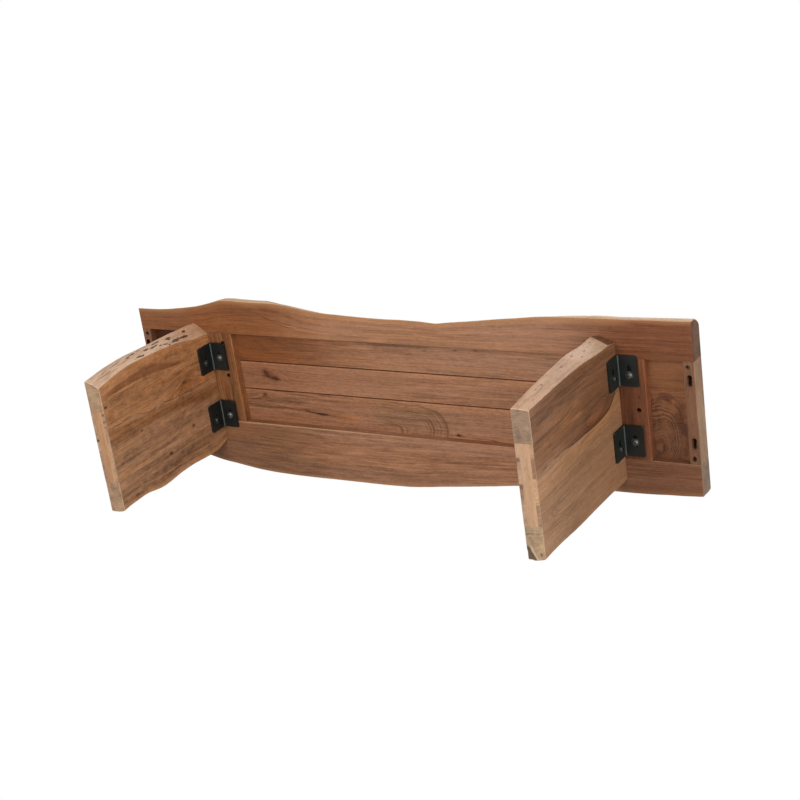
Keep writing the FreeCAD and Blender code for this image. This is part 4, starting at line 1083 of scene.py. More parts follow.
def left_leg_marks(mk):
    n = mk.n
    growth = [(412, -26.5), (396, -25.9), (366, -22.9), (340, -24.7), (309, -21.7), (276, -13.0), (251, -10.3), (219, -17.0), (199, -11.6),
              (169, -7.6), (150, -7.6), (110, -4.0), (50, -3.0), (-10, -4.0)]
    # warm in front of the growth line, greyer behind it
    front = mk.side(growth, 6.0)
    mk.tint(front, (1.08, 1.0, 0.84), 0.8)
    mk.tint(1.0 - front, (0.96, 1.0, 1.04), 0.8)
    mk.drift([(412, 0.6), (330, 0.2), (200, 0.0), (60, 0.0)], (1.06, 1.10, 1.14))
    # dark heart streak along the front natural edge
    mk.tint(mk.band([(412, -104), (396, -107), (331, -116), (252, -120), (200, -110), (140, -91), (100, -84)],
                    [(412, -97.5), (396, -98), (331, -99.5), (247, -96.5), (181, -88.7), (140, -83), (100, -80)], (4.5, 2.0), 30.0),
            (0.50, 0.41, 0.38), 0.82)
    mk.tint(mk.line([(412, -93), (331, -96.5), (247, -93.5), (181, -85), (130, -79)], 2.4, 2.4, 40.0, 2.0, 0.5), (1.20, 1.16, 1.06), 0.7)
    mk.tint(mk.line([(412, -121), (340, -127), (262, -131), (190, -128), (120, -118)], 2.0, 2.6, 40.0, 3.0, 0.6), (1.16, 1.06, 0.94), 0.6)
    mk.tint(mk.line([(408, -96), (357, -93), (300, -88), (240, -79), (190, -74)], 0.9, 1.3, 50.0, 2.0, 0.8), (0.54, 0.45, 0.40), 0.6)
    mk.tint(mk.line([(400, -112), (350, -118), (300, -124), (240, -127)], 0.9, 1.6, 40.0, 3.0, 0.8), (0.60, 0.50, 0.44), 0.5)
    # growth line across the middle and the grey band behind it
    mk.tint(mk.line(growth, 0.9, 1.3, 30.0, 3.0, 0.95), (0.42, 0.33, 0.28), 0.8)
    mk.tint(mk.line([(330, -30), (280, -27), (240, -31), (200, -26), (160, -24)], 0.9, 1.4, 30.0, 3.0, 0.9), (0.50, 0.40, 0.35), 0.6)
    mk.tint(mk.band([(412, -20), (346, -17), (273, -7), (195, -4), (110, 4), (0, 12)],
                    [(412, 19), (358, 24), (280, 19), (211, 20), (120, 32), (0, 52)], (3.0, 8.0), 1.0), (0.79, 0.68, 0.52), 0.8)
    mk.tint(mk.line([(408, 8), (358, 15.5), (300, 12), (211, 10.5), (120, 20), (38, 33), (5, 40)], 9.0, 7.0, 60.0, 6.0), (0.74, 0.69, 0.62), 0.7)
    mk.tint(mk.spot(66, 30, 64, 20), (0.74, 0.67, 0.62), 0.7)
    mk.tint(mk.spot(300, 120, 62, 15), (0.80, 0.78, 0.77), 0.7)
    mk.tint(mk.spot(330, 112, 26, 7), (0.76, 0.72, 0.70), 0.6)
    # swirl round a limb near the head
    mk.tint(mk.spot(55, -13, 15, 9), (1.30, 1.12, 0.90), 0.6)
    mk.tint(mk.spot(135, 6, 8, 6), (0.58, 0.48, 0.43), 0.75)
    mk.tint(mk.spot(141, 39, 8, 5), (0.60, 0.50, 0.45), 0.65)
    mk.tint(mk.spot(231, 121, 9, 3.5), (0.66, 0.52, 0.45), 0.6)
    mk.knot(342, -8.2, 11, 1.6, 0.0, 0.4, (84, 55, 40))
    for d in (0.0, 7.5, -9.0):
        mk.tint(mk.line([(330, 141 + d), (290, 150 + d), (247, 153 + d), (191, 152 + d), (133, 156 + d), (74, 160 + d)], 1.2, 2.0, 40.0, 3.0, 0.7),
                (0.62, 0.53, 0.48), 0.6)
    if mk.near([-22], 42.0):
        r = mk.rho(116, -22, 34, 19) + mk.wob * 1.5 + mk.rag * 0.25
        mk.tint(n.smooth(r, 0.4, 1.3, 1.0, 0.0), (0.74, 0.64, 0.57), 0.85)
        arc = n.noise1(r * 3.4 + 2.0, 1.0, 2.0, 0.6)
        mk.tint(n.smooth(n.abs(arc - 0.5), 0.0, 0.07, 1.0, 0.0) * n.smooth(r, 1.2, 2.0, 1.0, 0.0), (0.58, 0.47, 0.41), 0.7)
    mk.tint(mk.spot(108, -14, 9, 6), (1.25, 1.10, 0.95), 0.6)
    mk.knot(121, -31, 8, 4.0, 0.0, 0.55, (72, 44, 30))
    mk.tint(mk.spot(139, 19, 12, 7), (0.58, 0.50, 0.47), 0.7)
    mk.knot(300.3, 21.7, 5.5, 2.6, 0.0, 0.65)
    mk.knot(116.6, 84.8, 6.0, 3.8, 0.0, 0.8, (78, 46, 30))
    mk.knot(216, 117, 7.5, 5.0, 0.0, 0.85)
    mk.tint(mk.line([(260, 112), (230, 111), (205, 122), (170, 124)], 1.0, 1.6, 20.0, 3.0), (0.58, 0.49, 0.44), 0.55)
    mk.knot(357.5, 162, 7.0, 4.5, 0.0, 0.55, (84, 55, 40))
    mk.knot(403, -78, 6.0, 4.0, 0.0, 0.8)
    for pts in ([(412, 138), (340, 146), (250, 140), (160, 150), (60, 145)], [(412, 92), (320, 84), (230, 90), (140, 78), (40, 80)],
                [(300, 168), (200, 171), (100, 160), (20, 165)], [(400, 55), (320, 58), (250, 52), (170, 60)]):
        mk.tint(mk.line(pts, 1.0, 2.0, 50.0, 7.0, 0.9), (0.62, 0.54, 0.49), 0.5)
    # painted shade where the leg shows through each bracket's slot
    for y0 in LEFT_BRACKETS:
        mk.slot(32.0, y0, 9.5, 4.2, True, 0.85)


def right_leg_marks(mk):
    n = mk.n
    line = [(-5, -72), (20, -46), (28.5, -38.3), (48, -27), (69, -19.6), (118, -15.2), (180, -16.8), (240, -18.3), (298, -22.9), (342, -18.7), (412, -13)]
    # the dark part ends sharply near the head and melts away towards the foot
    head = n.smooth(mk.a, mk.A(300), mk.A(190))
    front = mk.side(line, 2.0) * head + mk.side([(p, q - 6) for p, q in line], 24.0) * (1.0 - head)
    mk.tint(front, (0.56, 0.46, 0.38), 0.85)
    mk.tint(1.0 - front, (1.00, 0.99, 0.90), 0.7)
    mk.drift([(412, 1.0), (340, 0.65), (230, 0.05), (60, 0.0)], (1.34, 1.45, 1.60))
    ends = n.smooth(mk.a, mk.A(350), mk.A(230))
    if mk.near([q for _, q in line], 14.0):
        mk.tint(mk.band([(p, q - 11) for p, q in line], line, (9.0, 1.0), 60.0) * ends, (0.54, 0.44, 0.42), 0.85)
        mk.tint(mk.line([(p, q - 1) for p, q in line], 1.4, 1.2, 60.0, 2.0, 0.6) * ends, (0.42, 0.33, 0.30), 0.85)
        mk.tint(mk.line([(p, q + 4) for p, q in line], 1.6, 2.0, 60.0, 2.0, 0.5) * ends, (1.22, 1.18, 1.08), 0.6)
    mk.knot(342, -59.7, 8.0, 2.6, 0.0, 0.26)
    mk.knot(316, -25.0, 14.0, 2.0, 0.1, 0.30)
    mk.tint(mk.spot(352, -129, 62, 14), (0.84, 0.83, 0.92), 0.7)
    # bright flame in the dark part
    mk.tint(mk.spot(204, -86, 30, 17, 0.3, 1.5), (1.50, 1.46, 1.30), 0.55)
    mk.tint(mk.spot(272, -86, 42, 11, 0.1, 1.5), (1.48, 1.43, 1.30), 0.6)
    mk.tint(mk.line([(160, -86), (208, -70.0), (246, -73.8), (276, -74.4), (322, -74.3), (363, -72.6), (392, -71.5), (412, -71)], 3.0, 7.0, 60.0, 5.0, 0.4),
            (1.72, 1.66, 1.46), 0.8)
    mk.tint(mk.line([(186, -104), (230, -92), (290, -84), (340, -82)], 2.0, 4.0, 30.0, 5.0, 0.6), (1.42, 1.36, 1.22), 0.7)
    mk.tint(mk.line([(150, -80), (200, -70), (260, -60), (320, -55)], 2.0, 5.0, 50.0, 9.0, 0.9), (1.32, 1.22, 1.05), 0.55)
    mk.tint(mk.line([(190, -118), (240, -112), (300, -104), (370, -100)], 2.0, 5.0, 50.0, 9.0, 0.9), (1.28, 1.18, 1.05), 0.5)
    for pts in ([(412, -140), (300, -146), (200, -140), (100, -128), (20, -122)], [(412, -118), (300, -122), (200, -116), (110, -104), (40, -96)],
                [(412, -90), (320, -88), (240, -94), (170, -108)], [(412, -50), (340, -47), (270, -46), (200, -44)],
                [(412, -40), (350, -36), (290, -34), (230, -32)]):
        mk.tint(mk.line(pts, 1.2, 2.2, 50.0, 8.0, 0.9), (0.60, 0.51, 0.48), 0.6)
    # narrow loop at the head
    if mk.near([-42], 40.0):
        r = mk.rho(118, -42, 56, 17, -0.145) + mk.wob * 0.22
        mk.tint(n.smooth(r, 0.70, 1.0, 1.0, 0.0), (1.22, 1.15, 1.05), 0.7)
        for at, amt in ((1.0, 0.85), (0.80, 0.45), (0.62, 0.35), (1.16, 0.65), (1.32, 0.45)):
            mk.tint(n.smooth(n.abs(r - at), 0.02, 0.06, 1.0, 0.0) * front, (0.48, 0.39, 0.35), amt)
    # soft arches in the plain part
    for q0, w0, la, lb in ((80, 300, 62, 17), (80, 300, 40, 9), (80, 398, 56, 17), (80, 398, 36, 9)):
        if not mk.near([q0], 1.3 * lb):
            continue
        r = mk.rho(w0, q0, la, lb) + mk.wob * 0.5
        mk.tint(n.smooth(n.abs(r - 1.0), 0.02, 0.11, 1.0, 0.0), (0.70, 0.62, 0.57), 0.4)
    mk.tint(mk.line([(405, 108), (340, 111), (270, 112), (200, 118)], 1.4, 3.0, 40.0, 5.0, 0.8), (0.64, 0.56, 0.52), 0.6)
    mk.tint(mk.line([(250, 132), (180, 136), (105, 139), (40, 141)], 1.0, 2.0, 50.0, 4.0), (0.64, 0.56, 0.52), 0.45)
    mk.knot(372, -24, 10, 2.2, 0.0, 0.25)
    # painted shade where the leg shows through each bracket's slot
    for y0 in RIGHT_BRACKETS:
        mk.slot(32.0, y0, 9.5, 4.2, True, 0.85)


def rail_holes(mk, mid, ys, brackets):
    for side in (-1, 1):
        face = mid + side * HALF_LEG
        # screw holes painted dark inside, as painted shade
        for y0 in ys:
            mk.slot(y0, face + side * 42.4, 0.0, 4.5)
        # painted contact shadow and grime round each bracket foot, and painted shade in the rail behind each bracket's
        # slot
        for y0 in brackets:
            mk.halo(y0, face + side * 23.5, 35.0, 24.5, 5.0)
            mk.slot(y0, face + side * 29.5, 9.5, 4.2, False, 0.9)


def left_rail_marks(mk):
    # painted highlight on the band along the inner edge
    mk.tint(mk.band([(-120, -470), (120, -470)], [(-120, -461.6), (120, -461.6)], (3.0, 0.6), 1.0), (1.14, 1.08, 1.0), 0.6)
    mk.tint(mk.spot(60, -502, 60, 9), (0.70, 0.60, 0.54), 0.75)
    mk.tint(mk.line([(-117, -482), (-40, -484), (40, -480), (117, -478)], 2.0, 4.0, 10.0, 3.0), (1.16, 1.12, 0.98), 0.6)
    # painted highlight on the arris of the inner edge
    mk.tint(mk.line([(-117, -461.2), (117, -461.2)], 1.4, 0.8, 1.0, 0.6, 0.5), (1.7, 1.62, 1.5), 0.7)
    rail_holes(mk, LEFT_X, (-91.7, -5.5, 78.0), LEFT_BRACKETS)


def right_rail_marks(mk):
    # painted highlight along the edge by the pocket, as a band and a line on its arris; painted shade on the side next
    # to the leg
    mk.tint(mk.band([(-120, 613), (120, 613)], [(-120, 627.0), (120, 627.0)], (3.0, 0.6), 1.0), (1.22, 1.26, 1.28), 0.6)
    mk.tint(mk.band([(-120, 560), (120, 560)], [(-120, 592), (120, 596)], (6.0, 12.0), 1.0), (0.86, 0.82, 0.80), 0.7)
    mk.tint(mk.line([(-117, 627.4), (117, 627.4)], 1.4, 0.8, 1.0, 0.6, 0.5), (1.9, 1.86, 1.78), 0.7)
    mk.knot(-30, 611, 4.0, 1.6, 0.0, 0.6)
    rail_holes(mk, RIGHT_X, (-100.0, 0.4, 100.0), RIGHT_BRACKETS)


def right_end_marks(mk):
    z = mk.n.coords()[2]
    nx = mk.n.normal()[0]
    face = mk.n.smooth(nx, 0.6, 0.9)
    streak = mk.n.noise(mk.n.vec(mk.a * 9.0, z * 120.0, 4.0), 1.0, 2.0, 0.6)
    # the face towards +X is painted much lighter, as painted light; streaked, and darker towards its front end
    mk.tint(face, (1.85, 2.42, 2.72), 1.0)
    mk.tint(face * mk.n.smooth(streak, 0.50, 0.62), (0.72, 0.66, 0.62), 0.6)
    mk.tint(face * mk.n.smooth(mk.a, mk.A(-110), mk.A(30), 1.0, 0.0), (0.86, 0.80, 0.76), 0.8)
    # painted highlight on the arris of the inner edge
    mk.tint(mk.line([(-117, 716.4), (117, 716.4)], 1.4, 1.0, 1.0, 0.6, 0.5), (1.25, 1.22, 1.18), 0.8)
    mk.tint(mk.spot(-20, 727, 42, 5), (1.25, 1.20, 1.16), 0.6)
    # keyholes and screw holes painted dark inside and round the keyholes, as painted shade
    for y0 in (-87.5, 55.5):
        mk.tint(mk.spot(y0 + 13, 728, 24, 9) * mk.low, (0.72, 0.62, 0.60), 0.6)
        mk.slot(y0 + 12.6, 728.5, 7.6, 5.4, False, 0.45)
    for y0 in (-104.5, 104.5):
        mk.slot(y0, 726.0, 0.0, 4.6, False, 0.50)


def left_end_marks(mk):
    # keyholes and screw holes painted dark inside, as painted shade
    for y0 in (-87.5, 55.5):
        mk.slot(y0 + 12.6, -728.5, 7.6, 5.4, False, 0.97)
    for y0 in (-104.5, 104.5):
        mk.slot(y0, -726.0, 0.0, 4.6, False, 0.9)


# ----------------------------------------------------------------------------
# Wood
# ----------------------------------------------------------------------------
FRONT_BOARD, REAR_BOARD = (167, 121, 92), (161, 115, 87)
FRONT_PLANK, MIDDLE_PLANK, REAR_PLANK = (163, 119, 91), (161, 114, 84), (165, 118, 89)
LEFT_RAIL, RIGHT_RAIL, LEFT_END, RIGHT_END = (130, 85, 52), (122, 75, 50), (138, 93, 68), (118, 84, 64)
LEFT_LEG, RIGHT_LEG = (171, 123, 87), (157, 116, 86)
LIVE_LEFT, LIVE_RIGHT, LIVE_SEAT = (212, 178, 150), (201, 160, 129), (218, 180, 145)
END_SEAT, END_REAR = (112, 79, 60), (141, 118, 99)
END_LF, END_LR, END_RF, END_RR = (168, 138, 109), (170, 138, 110), (148, 122, 100), (176, 147, 117)
SKIN_LEFT, SKIN_RIGHT = (180, 146, 120), (178, 145, 119)
CORE_LEFT, CORE_RIGHT = (185, 140, 105), (190, 152, 121)
WORN = (210, 180, 150)

boards = [
    (seat_board("front_board_mesh", "front_live_edge_board", FRONT_EDGE, FRONT_FULL, FRONT_LEVELS, -1, 11),
     wood("front_board_wood", "X", 3.1, FRONT_BOARD, flow=True, marks=front_board_marks, conv=LONG, curl=0.10, contrast=0.72,
          sap=((200, 146, 98), 0.016, 0.62), live=LIVE_SEAT, end=END_SEAT, arris=((216, 176, 136), 0.60), live_streak=0.25,
          # the upper row of the end is painted darker grey, as painted shade on the eased top edge
          end_rows=[(-0.006, 0.010, (0.74, 0.62, 0.58)), (0.034, 0.052, (0.80, 0.80, 0.80))])),
    (seat_board("rear_board_mesh", "rear_live_edge_board", REAR_EDGE, REAR_FULL, REAR_LEVELS, 1, 23),
     wood("rear_board_wood", "X", 8.7, REAR_BOARD, flow=True, marks=rear_board_marks, conv=LONG,
          sap=((188, 138, 98), 0.014, 0.50), live=LIVE_SEAT, end=END_REAR, arris=((210, 170, 132), 0.50), live_streak=0.35,
          # the upper row of the end is painted darker grey, as painted shade on the eased top edge
          end_rows=[(0.034, 0.052, (0.78, 0.80, 0.80))]))]
PITS = [(-552.5, 277.0, 15, 5.0, 1.6, 0.10), (-558.5, 254.8, 25, 5.5, 2.0, 0.06), (-539.5, 244.5, 27, 5.5, 2.0, -0.08),
        (-550.5, 211.0, 24, 5.5, 2.0, 0.05), (-548.2, 184.2, 31, 6.0, 2.2, 0.05), (-558.2, 174.0, 15, 4.5, 1.8, 0.0),
        (-558.8, 158.0, 13, 4.5, 1.8, 0.0), (-543.0, 164.5, 12, 4.5, 1.8, 0.2), (-541.2, 149.8, 16, 5.5, 2.0, -0.25),
        (-534.0, 143.0, 14, 4.5, 1.6, 0.9), (-555.8, 119.0, 22, 6.5, 2.2, 0.12), (-549.5, 124.0, 9, 5.0, 1.6, 0.5),
        (-540.5, 111.0, 31, 7.5, 2.4, 0.10), (-543.0, 80.2, 31, 7.0, 2.4, 0.05), (-558.0, 56.5, 13, 6.0, 2.0, 0.0),
        (-532.5, 214.0, 5, 3.0, 1.2, 0.0), (-554.8, 319.0, 32, 3.0, 0.7, 0.03), (-554.0, 366.5, 34, 2.6, 0.6, 0.05),
        (-548.0, 372.5, 66, 2.6, 0.6, -0.08), (-561.5, 228.0, 11, 3.0, 0.9, 0.0), (-546.0, 96.0, 7, 4.0, 1.4, 0.0),
        (-546.0, 296.0, 26, 2.4, 0.5, 0.04), (-560.0, 300.0, 30, 2.6, 0.5, 0.02), (-541.0, 340.0, 34, 2.2, 0.4, -0.03)]
DOTS = [(553.0, 135.0, 9, 4.5, 0.8, 0.1), (537.0, 150.0, 12, 4.5, 0.8, 0.0), (542.0, 101.0, 13, 5.5, 0.7, 0.2),
        (548.0, 112.0, 7, 3.0, 0.6, 0.0), (536.0, 57.0, 9, 4.0, 0.6, 0.0), (542.0, 211.0, 13, 5.0, 0.7, 0.1),
        (549.0, 230.0, 10, 3.5, 0.6, -0.1), (533.0, 262.0, 9, 4.0, 0.6, 0.0), (541.0, 303.0, 8, 4.0, 0.9, 0.2),
        (540.0, 326.0, 9, 3.5, 0.7, 0.0), (536.0, 400.0, 8, 4.0, 0.8, 0.0), (534.0, 180.0, 10, 3.0, 0.5, 0.0),
        (545.0, 350.0, 16, 2.4, 0.4, 0.0), (539.0, 376.0, 14, 2.4, 0.4, 0.05)]
LEFT_SET = dict(conv=LEG, flow=True, arris=(WORN, 0.62), live_pits=0.95, live_head=(1.03, 0.90, 0.80), wear=WORN)
RIGHT_SET = dict(conv=LEG, flow=True, arris=(WORN, 0.62), live_pits=0.6, live_head=(1.06, 1.16, 1.26), wear=WORN)
PANEL_SET = dict(conv=LEG, wear=WORN)
MOTTLED = dict(contrast=1.12, c_streak=0.08, c_fibre=0.09, c_blotch=0.80, c_mottle=0.66, line=0.38)
LEFT_NEAR = [(-66, -58, (0.52, 0.44, 0.42)), (-47, -42, (0.62, 0.52, 0.50)), (-34, -30, (0.55, 0.46, 0.44)), (-20, 70, (1.10, 1.06, 1.02))]
LEFT_FAR = [(-1, 6, (0.30, 0.26, 0.25)), (30, 100, (0.90, 0.86, 0.84))]
RIGHT_NEAR = [(-92, -64, (0.96, 0.90, 0.86)), (-64, -17, (0.70, 0.58, 0.54)), (-17, 40, (1.18, 1.16, 1.02)), (40, 88, (0.74, 0.70, 0.69))]
RIGHT_FAR = [(-92, -60, (1.08, 1.02, 1.0)), (-58, -50, (0.55, 0.48, 0.47)), (-2, 10, (0.55, 0.48, 0.47)), (10, 30, (0.80, 0.74, 0.72))]
rear_chip = (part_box("right_leg_rear_stile")[0].x - 0.001, Y(158), -0.002, 0.0175, 0.020, 0.014, 0.0022)
stiles = [
    (stile("left_front_stile_mesh", "left_leg_front_stile", LEFT_FRONT_NEAR, LEFT_FRONT_FAR, -68.0, -1, 2.6, 31,
           step=0.0012, across=42, pits=PITS),
     wood("left_front_stile_wood", "Z", 41.3, LEFT_LEG, marks=left_leg_marks, reach=(-165, -67), live=LIVE_LEFT, end=END_LF,
          sap=((182, 132, 92), 0.008, 0.35), live_streak=0.65, **LEFT_SET, **MOTTLED)),
    (stile("left_rear_stile_mesh", "left_leg_rear_stile", LEFT_REAR_NEAR, LEFT_REAR_FAR, 107.5, 1, 2.0, 37),
     wood("left_rear_stile_wood", "Z", 45.7, LEFT_LEG, marks=left_leg_marks, reach=(107, 200), live=LIVE_LEFT, end=END_LR, **LEFT_SET,
          **MOTTLED)),
    (stile("right_front_stile_mesh", "right_leg_front_stile", RIGHT_FRONT_NEAR, RIGHT_FRONT_FAR, -91.0, -1, 0.8, 43,
           step=0.0016, across=34, pits=DOTS, facet=33.0, rough=0.5),
     wood("right_front_stile_wood", "Z", 57.1, RIGHT_LEG, marks=right_leg_marks, reach=(-170, -90), live=LIVE_RIGHT, end=END_RF, end_lines=0.6,
          live_streak=0.4, contrast=1.1, **RIGHT_SET)),
    (stile("right_rear_stile_mesh", "right_leg_rear_stile", RIGHT_REAR_NEAR, RIGHT_REAR_FAR, 87.0, 1, 1.5, 47,
           step=0.0022, across=26, chip=rear_chip),
     wood("right_rear_stile_wood", "Z", 61.6, RIGHT_LEG, marks=right_leg_marks, reach=(86, 200), live=LIVE_RIGHT, end=END_RR, chip=True,
          contrast=0.85, **RIGHT_SET))]
for ob, mat in boards + stiles:
    dress(ob, mat)

paint("front_seat_plank", wood("front_plank_wood", "X", 5.3, FRONT_PLANK, marks=front_plank_marks, conv=LONG, end=END_SEAT, low=0.032))
paint("middle_seat_plank", wood("middle_plank_wood", "X", 12.9, MIDDLE_PLANK, marks=middle_plank_marks, conv=LONG, end=END_SEAT, low=0.032,
                                bumps=[(-0.376, Y(-5), 0.035, 0.013, 0.016)]))
paint("rear_seat_plank", wood("rear_plank_wood", "X", 17.7, REAR_PLANK, marks=rear_plank_marks, conv=LONG, end=END_SEAT, contrast=1.25, low=0.032,
                              bumps=[(-0.402, Y(46), 0.03, 0.010, 0.012)]))
paint("left_leg_rail", wood("left_rail_wood", "Y", 21.1, LEFT_RAIL, marks=left_rail_marks, conv=CROSS, end=END_SEAT, contrast=1.5))
paint("right_leg_rail", wood("right_rail_wood", "Y", 25.9, RIGHT_RAIL, marks=right_rail_marks, conv=CROSS, end=END_SEAT))
paint("left_end_rail", wood("left_end_wood", "Y", 31.4, LEFT_END, marks=left_end_marks, conv=CROSS, end=END_SEAT, low=0.032))
paint("right_end_rail", wood("right_end_wood", "Y", 36.8, RIGHT_END, marks=right_end_marks, conv=CROSS, end=END_SEAT, low=0.032))
paint("left_leg_inner_panel", wood("left_inner_panel_wood", "Z", 49.9, LEFT_LEG, marks=left_leg_marks, reach=(-69, 108), end=SKIN_LEFT,
                                   end_blocks=LEFT_NEAR, bumps=[(Z(116), Y(-22), 0.05, 0.024, 0.022), (Z(116), Y(85), 0.03, 0.010, 0.012)],
                                   **PANEL_SET, **MOTTLED))
paint("left_leg_outer_panel", wood("left_outer_panel_wood", "Z", 53.2, LEFT_LEG, marks=left_leg_marks, reach=(-69, 108), end=SKIN_LEFT,
                                   end_blocks=LEFT_FAR, **PANEL_SET, **MOTTLED))
paint("right_leg_outer_panel", wood("right_outer_panel_wood", "Z", 66.4, RIGHT_LEG, marks=right_leg_marks, reach=(-92, 88), end=SKIN_RIGHT,
                                    end_blocks=RIGHT_NEAR, contrast=0.85, **PANEL_SET))
paint("right_leg_inner_panel", wood("right_inner_panel_wood", "Z", 71.8, RIGHT_LEG, marks=right_leg_marks, reach=(-92, 88), end=SKIN_RIGHT,
                                    end_blocks=RIGHT_FAR, contrast=0.85, **PANEL_SET))
for leg, mid, seed in (("left", CORE_LEFT, 77.3), ("right", CORE_RIGHT, 83.9)):
    core = wood(leg + "_core_wood", "Y", seed, mid, contrast=0.6, line=0.12, warm=0.3, cool=0.12, end=mid, rough=(0.55, 0.70))
    paint(leg + "_leg_foot_rail", core)
    paint(leg + "_leg_head_rail", core)
    if leg == "left":
        paint("leg_rail_dowels", core)


# ----------------------------------------------------------------------------
# Metal
# ----------------------------------------------------------------------------
def powder_coat(name, dark, light):
    n = Net(name)
    x, y, z = n.coords()
    p = n.vec(x, y, z)
    big = n.noise(p, 26.0, 3.0, 0.55)
    peel = n.noise(p, 950.0, 2.0, 0.5)
    dust_and_sheen = n.noise(p, 210.0, 3.0, 0.65)
    col = n.ramp(big * 0.6 + peel * 0.4, [(0.25, dark), (0.75, light)])
    col = n.mix(n.smooth(dust_and_sheen, 0.62, 0.78, 0.0, 0.30), col, (70, 72, 68))
    # painted highlight along the inside of the bend and on the edges
    nx, ny, nz = [n.abs(q) for q in n.normal()]
    bend = n.smooth(nx * nz, 0.12, 0.42)
    rim = n.smooth(nx * ny + ny * nz, 0.20, 0.42)
    col = n.mix(bend * n.smooth(dust_and_sheen, 0.25, 0.55, 0.45, 0.85), col, (86, 90, 88))
    col = n.mix(rim * n.smooth(dust_and_sheen, 0.30, 0.60, 0.20, 0.65), col, (92, 95, 92))
    n.set(Base_Color=col, Roughness=n.smooth(big + (peel - 0.5) * 0.5, 0.3, 0.7, 0.40, 0.54))
    n.bsdf.inputs["Specular IOR Level"].default_value = 0.45
    n.bump(peel, 0.25, 0.0003)
    return n


def plated(name, dark, light, metallic=1.0, rough=(0.30, 0.46)):
    n = Net(name)
    x, y, z = n.coords()
    p = n.vec(x, y, z)
    big = n.noise(p, 140.0, 3.0, 0.6)
    fine = n.noise(p, 1700.0, 2.0, 0.55)
    col = n.ramp(big * 0.65 + fine * 0.35, [(0.3, dark), (0.72, light)])
    n.set(Base_Color=col, Roughness=n.smooth(big, 0.3, 0.7, rough[0], rough[1]))
    n.bsdf.inputs["Metallic"].default_value = metallic
    n.bump(fine, 0.15, 0.0002)
    return n


# the left pair has the same coat painted darker, as painted shade
m_bracket = {"left": powder_coat("left_bracket_powder_coat", (16, 19, 18), (26, 30, 28)),
             "right": powder_coat("right_bracket_powder_coat", (23, 27, 26), (35, 40, 38))}
m_bolt = plated("bolt_zinc", (98, 100, 96), (148, 148, 142), rough=(0.42, 0.56))
m_leg_bolt = plated("leg_bolt_black_zinc", (58, 61, 59), (92, 94, 91), rough=(0.46, 0.60))
m_washer = plated("washer_zinc", (92, 96, 94), (140, 143, 138), rough=(0.42, 0.56))
m_leg_washer = plated("leg_washer_black_zinc", (66, 70, 69), (102, 106, 103), rough=(0.46, 0.60))
m_screw = plated("screw_zinc", (54, 48, 41), (92, 84, 72), rough=(0.45, 0.58))
m_insert = plated("insert_brass", (92, 70, 34), (130, 104, 56), rough=(0.42, 0.56))
for leg in ("left", "right"):
    for where in ("inner", "outer"):
        for tail in ("front", "rear"):
            q = "%s_%s_%s_bracket" % (leg, where, tail)
            paint(q, m_bracket[leg])
            bv =nodes[q].modifiers.new("eased", "BEVEL")
            bv.width, bv.segments, bv.limit_method, bv.angle_limit = 0.0007, 2, "ANGLE", math.radians(50)
paint("seat_bolts", m_bolt)
paint("leg_bolts", m_leg_bolt)
paint("seat_bolt_washers", m_washer)
paint("leg_bolt_washers", m_leg_washer)
for q in ("leg_rail_screws", "end_rail_screws"):
    paint(q, m_screw)
for q in ("seat_threaded_inserts", "leg_threaded_inserts"):
    paint(q, m_insert)


# ----------------------------------------------------------------------------
# Stage: pale floor seen from above only, soft light all round, the camera
# ----------------------------------------------------------------------------
me = bpy.data.meshes.new("floor")
R_FLOOR, SEG = 9.0, 64
ring_pts = [(R_FLOOR * math.cos(2 * math.pi * i / SEG), R_FLOOR * math.sin(2 * math.pi * i / SEG), 0.0) for i in range(SEG)]
me.from_pydata([(0.0, 0.0, 0.0)] + ring_pts, [], [(0, 1 + i, 1 + (i + 1) % SEG) for i in range(SEG)])
floor = bpy.data.objects.new("floor", me)
bpy.context.scene.collection.objects.link(floor)
fm = bpy.data.materials.new("pale_floor")
fm.use_nodes = True
ft = fm.node_tree
ft.nodes.clear()
f_out = ft.nodes.new("ShaderNodeOutputMaterial")
f_dif = ft.nodes.new("ShaderNodeBsdfDiffuse")
f_dif.inputs[0].default_value = (0.82, 0.815, 0.80, 1.0)
f_clear = ft.nodes.new("ShaderNodeBsdfTransparent")
f_mix = ft.nodes.new("ShaderNodeMixShader")
f_geo = ft.nodes.new("ShaderNodeNewGeometry")
# it melts into the white ground a few metres out
f_glow = ft.nodes.new("ShaderNodeEmission")
f_glow.inputs[0].default_value = (1.0, 0.995, 0.985, 1.0)
f_glow.inputs[1].default_value = 0.20
f_add = ft.nodes.new("ShaderNodeAddShader")
f_len = ft.nodes.new("ShaderNodeVectorMath")
f_len.operation = "LENGTH"
f_far = ft.nodes.new("ShaderNodeMapRange")
f_far.interpolation_type = "SMOOTHSTEP"
f_far.inputs["From Min"].default_value = 0.9
f_far.inputs["From Max"].default_value = 3.4
f_fade = ft.nodes.new("ShaderNodeMixShader")
ft.links.new(f_geo.outputs["Position"], f_len.inputs[0])
ft.links.new(f_len.outputs["Value"], f_far.inputs["Value"])
ft.links.new(f_dif.outputs[0], f_add.inputs[0])
ft.links.new(f_glow.outputs[0], f_add.inputs[1])
ft.links.new(f_far.outputs["Result"], f_fade.inputs[0])
ft.links.new(f_add.outputs[0], f_fade.inputs[1])
ft.links.new(f_clear.outputs[0], f_fade.inputs[2])
ft.links.new(f_geo.outputs["Backfacing"], f_mix.inputs[0])
ft.links.new(f_fade.outputs[0], f_mix.inputs[1])
ft.links.new(f_clear.outputs[0], f_mix.inputs[2])
ft.links.new(f_mix.outputs[0], f_out.inputs[0])
me.materials.append(fm)
floor.visible_shadow = False
floor.visible_diffuse = False
floor.visible_glossy = False
floor.visible_transmission = False

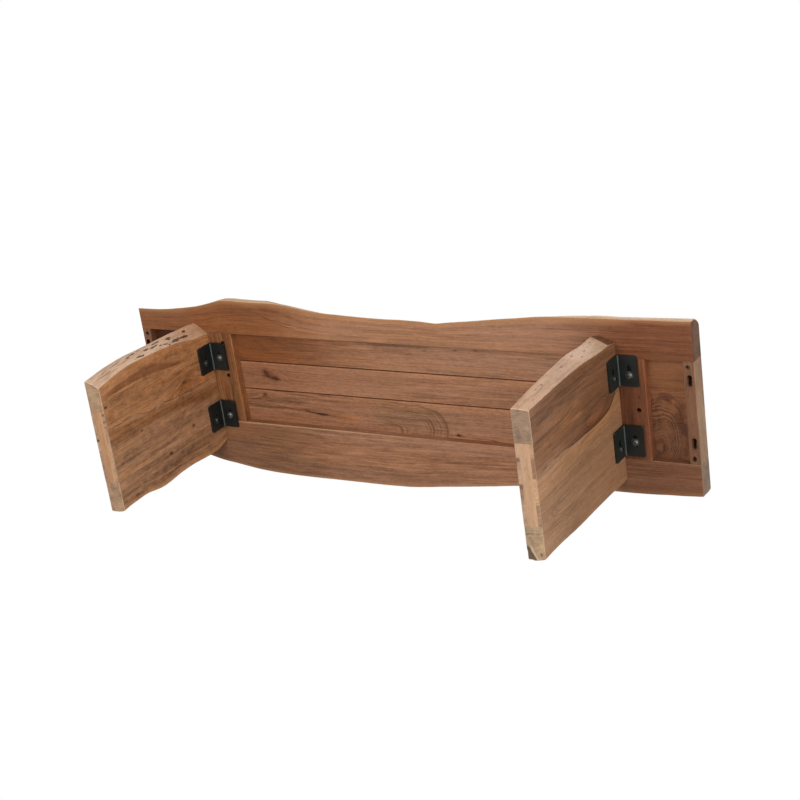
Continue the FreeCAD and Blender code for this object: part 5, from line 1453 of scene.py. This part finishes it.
scene = bpy.context.scene
world = bpy.data.worlds.new("studio")
scene.world = world
world.use_nodes = True
wt = world.node_tree
wt.nodes.clear()
w_out = wt.nodes.new("ShaderNodeOutputWorld")
w_seen = wt.nodes.new("ShaderNodeBackground")
w_light = wt.nodes.new("ShaderNodeBackground")
w_mix = wt.nodes.new("ShaderNodeMixShader")
w_path = wt.nodes.new("ShaderNodeLightPath")
w_seen.inputs[0].default_value = (1.0, 1.0, 1.0, 1.0)
w_seen.inputs[1].default_value = 1.0
w_light.inputs[0].default_value = (1.0, 0.985, 0.965, 1.0)
w_light.inputs[1].default_value = 0.38
wt.links.new(w_path.outputs["Is Camera Ray"], w_mix.inputs[0])
wt.links.new(w_light.outputs[0], w_mix.inputs[1])
wt.links.new(w_seen.outputs[0], w_mix.inputs[2])
wt.links.new(w_mix.outputs[0], w_out.inputs[0])


def softbox(name, where, target, size, watts, colour=(1.0, 0.98, 0.95)):
    ld = bpy.data.lights.new(name, "AREA")
    ld.shape = "RECTANGLE"
    ld.size, ld.size_y = size
    ld.energy = watts
    ld.color = colour
    ob = bpy.data.objects.new(name, ld)
    scene.collection.objects.link(ob)
    ob.location = where
    d = Vector(target) - Vector(where)
    ob.rotation_mode = "QUATERNION"
    ob.rotation_quaternion = d.to_track_quat("-Z", "Y")
    ob.visible_camera = False
    return ob


softbox("key", (0.05, -1.05, -1.75), (0.0, 0.0, 0.40), (1.4, 1.2), 35.0)
softbox("side", (3.1, -0.7, -0.5), (0.0, 0.0, 0.25), (2.2, 2.2), 42.0)
softbox("top", (0.3, -0.9, 3.4), (0.0, 0.0, 0.4), (3.0, 2.4), 60.0)
softbox("back", (-1.6, 3.2, 1.5), (0.0, 0.0, 0.3), (2.6, 2.0), 46.0)

cam_data = bpy.data.cameras.new("camera")
cam = bpy.data.objects.new("camera", cam_data)
scene.collection.objects.link(cam)
right = Vector((0.8542, 0.1351, 0.5021)).normalized()
fwd = Vector((-0.5152, 0.3512, 0.7818))
fwd = (fwd - right * fwd.dot(right)).normalized()
up = right.cross(fwd)
m = Matrix.Identity(4)
for r in range(3):
    m[r][0], m[r][1], m[r][2] = right[r], up[r], -fwd[r]
m[0][3], m[1][3], m[2][3] = 1.93699, -1.31609, -2.51841
cam.matrix_world = m
cam_data.sensor_width = 36.0
cam_data.lens = 72.16
cam_data.clip_start, cam_data.clip_end = 0.05, 60.0
scene.camera = cam
scene.view_settings.view_transform = "Standard"
scene.view_settings.look = "None"

bpy.context.view_layer.update()
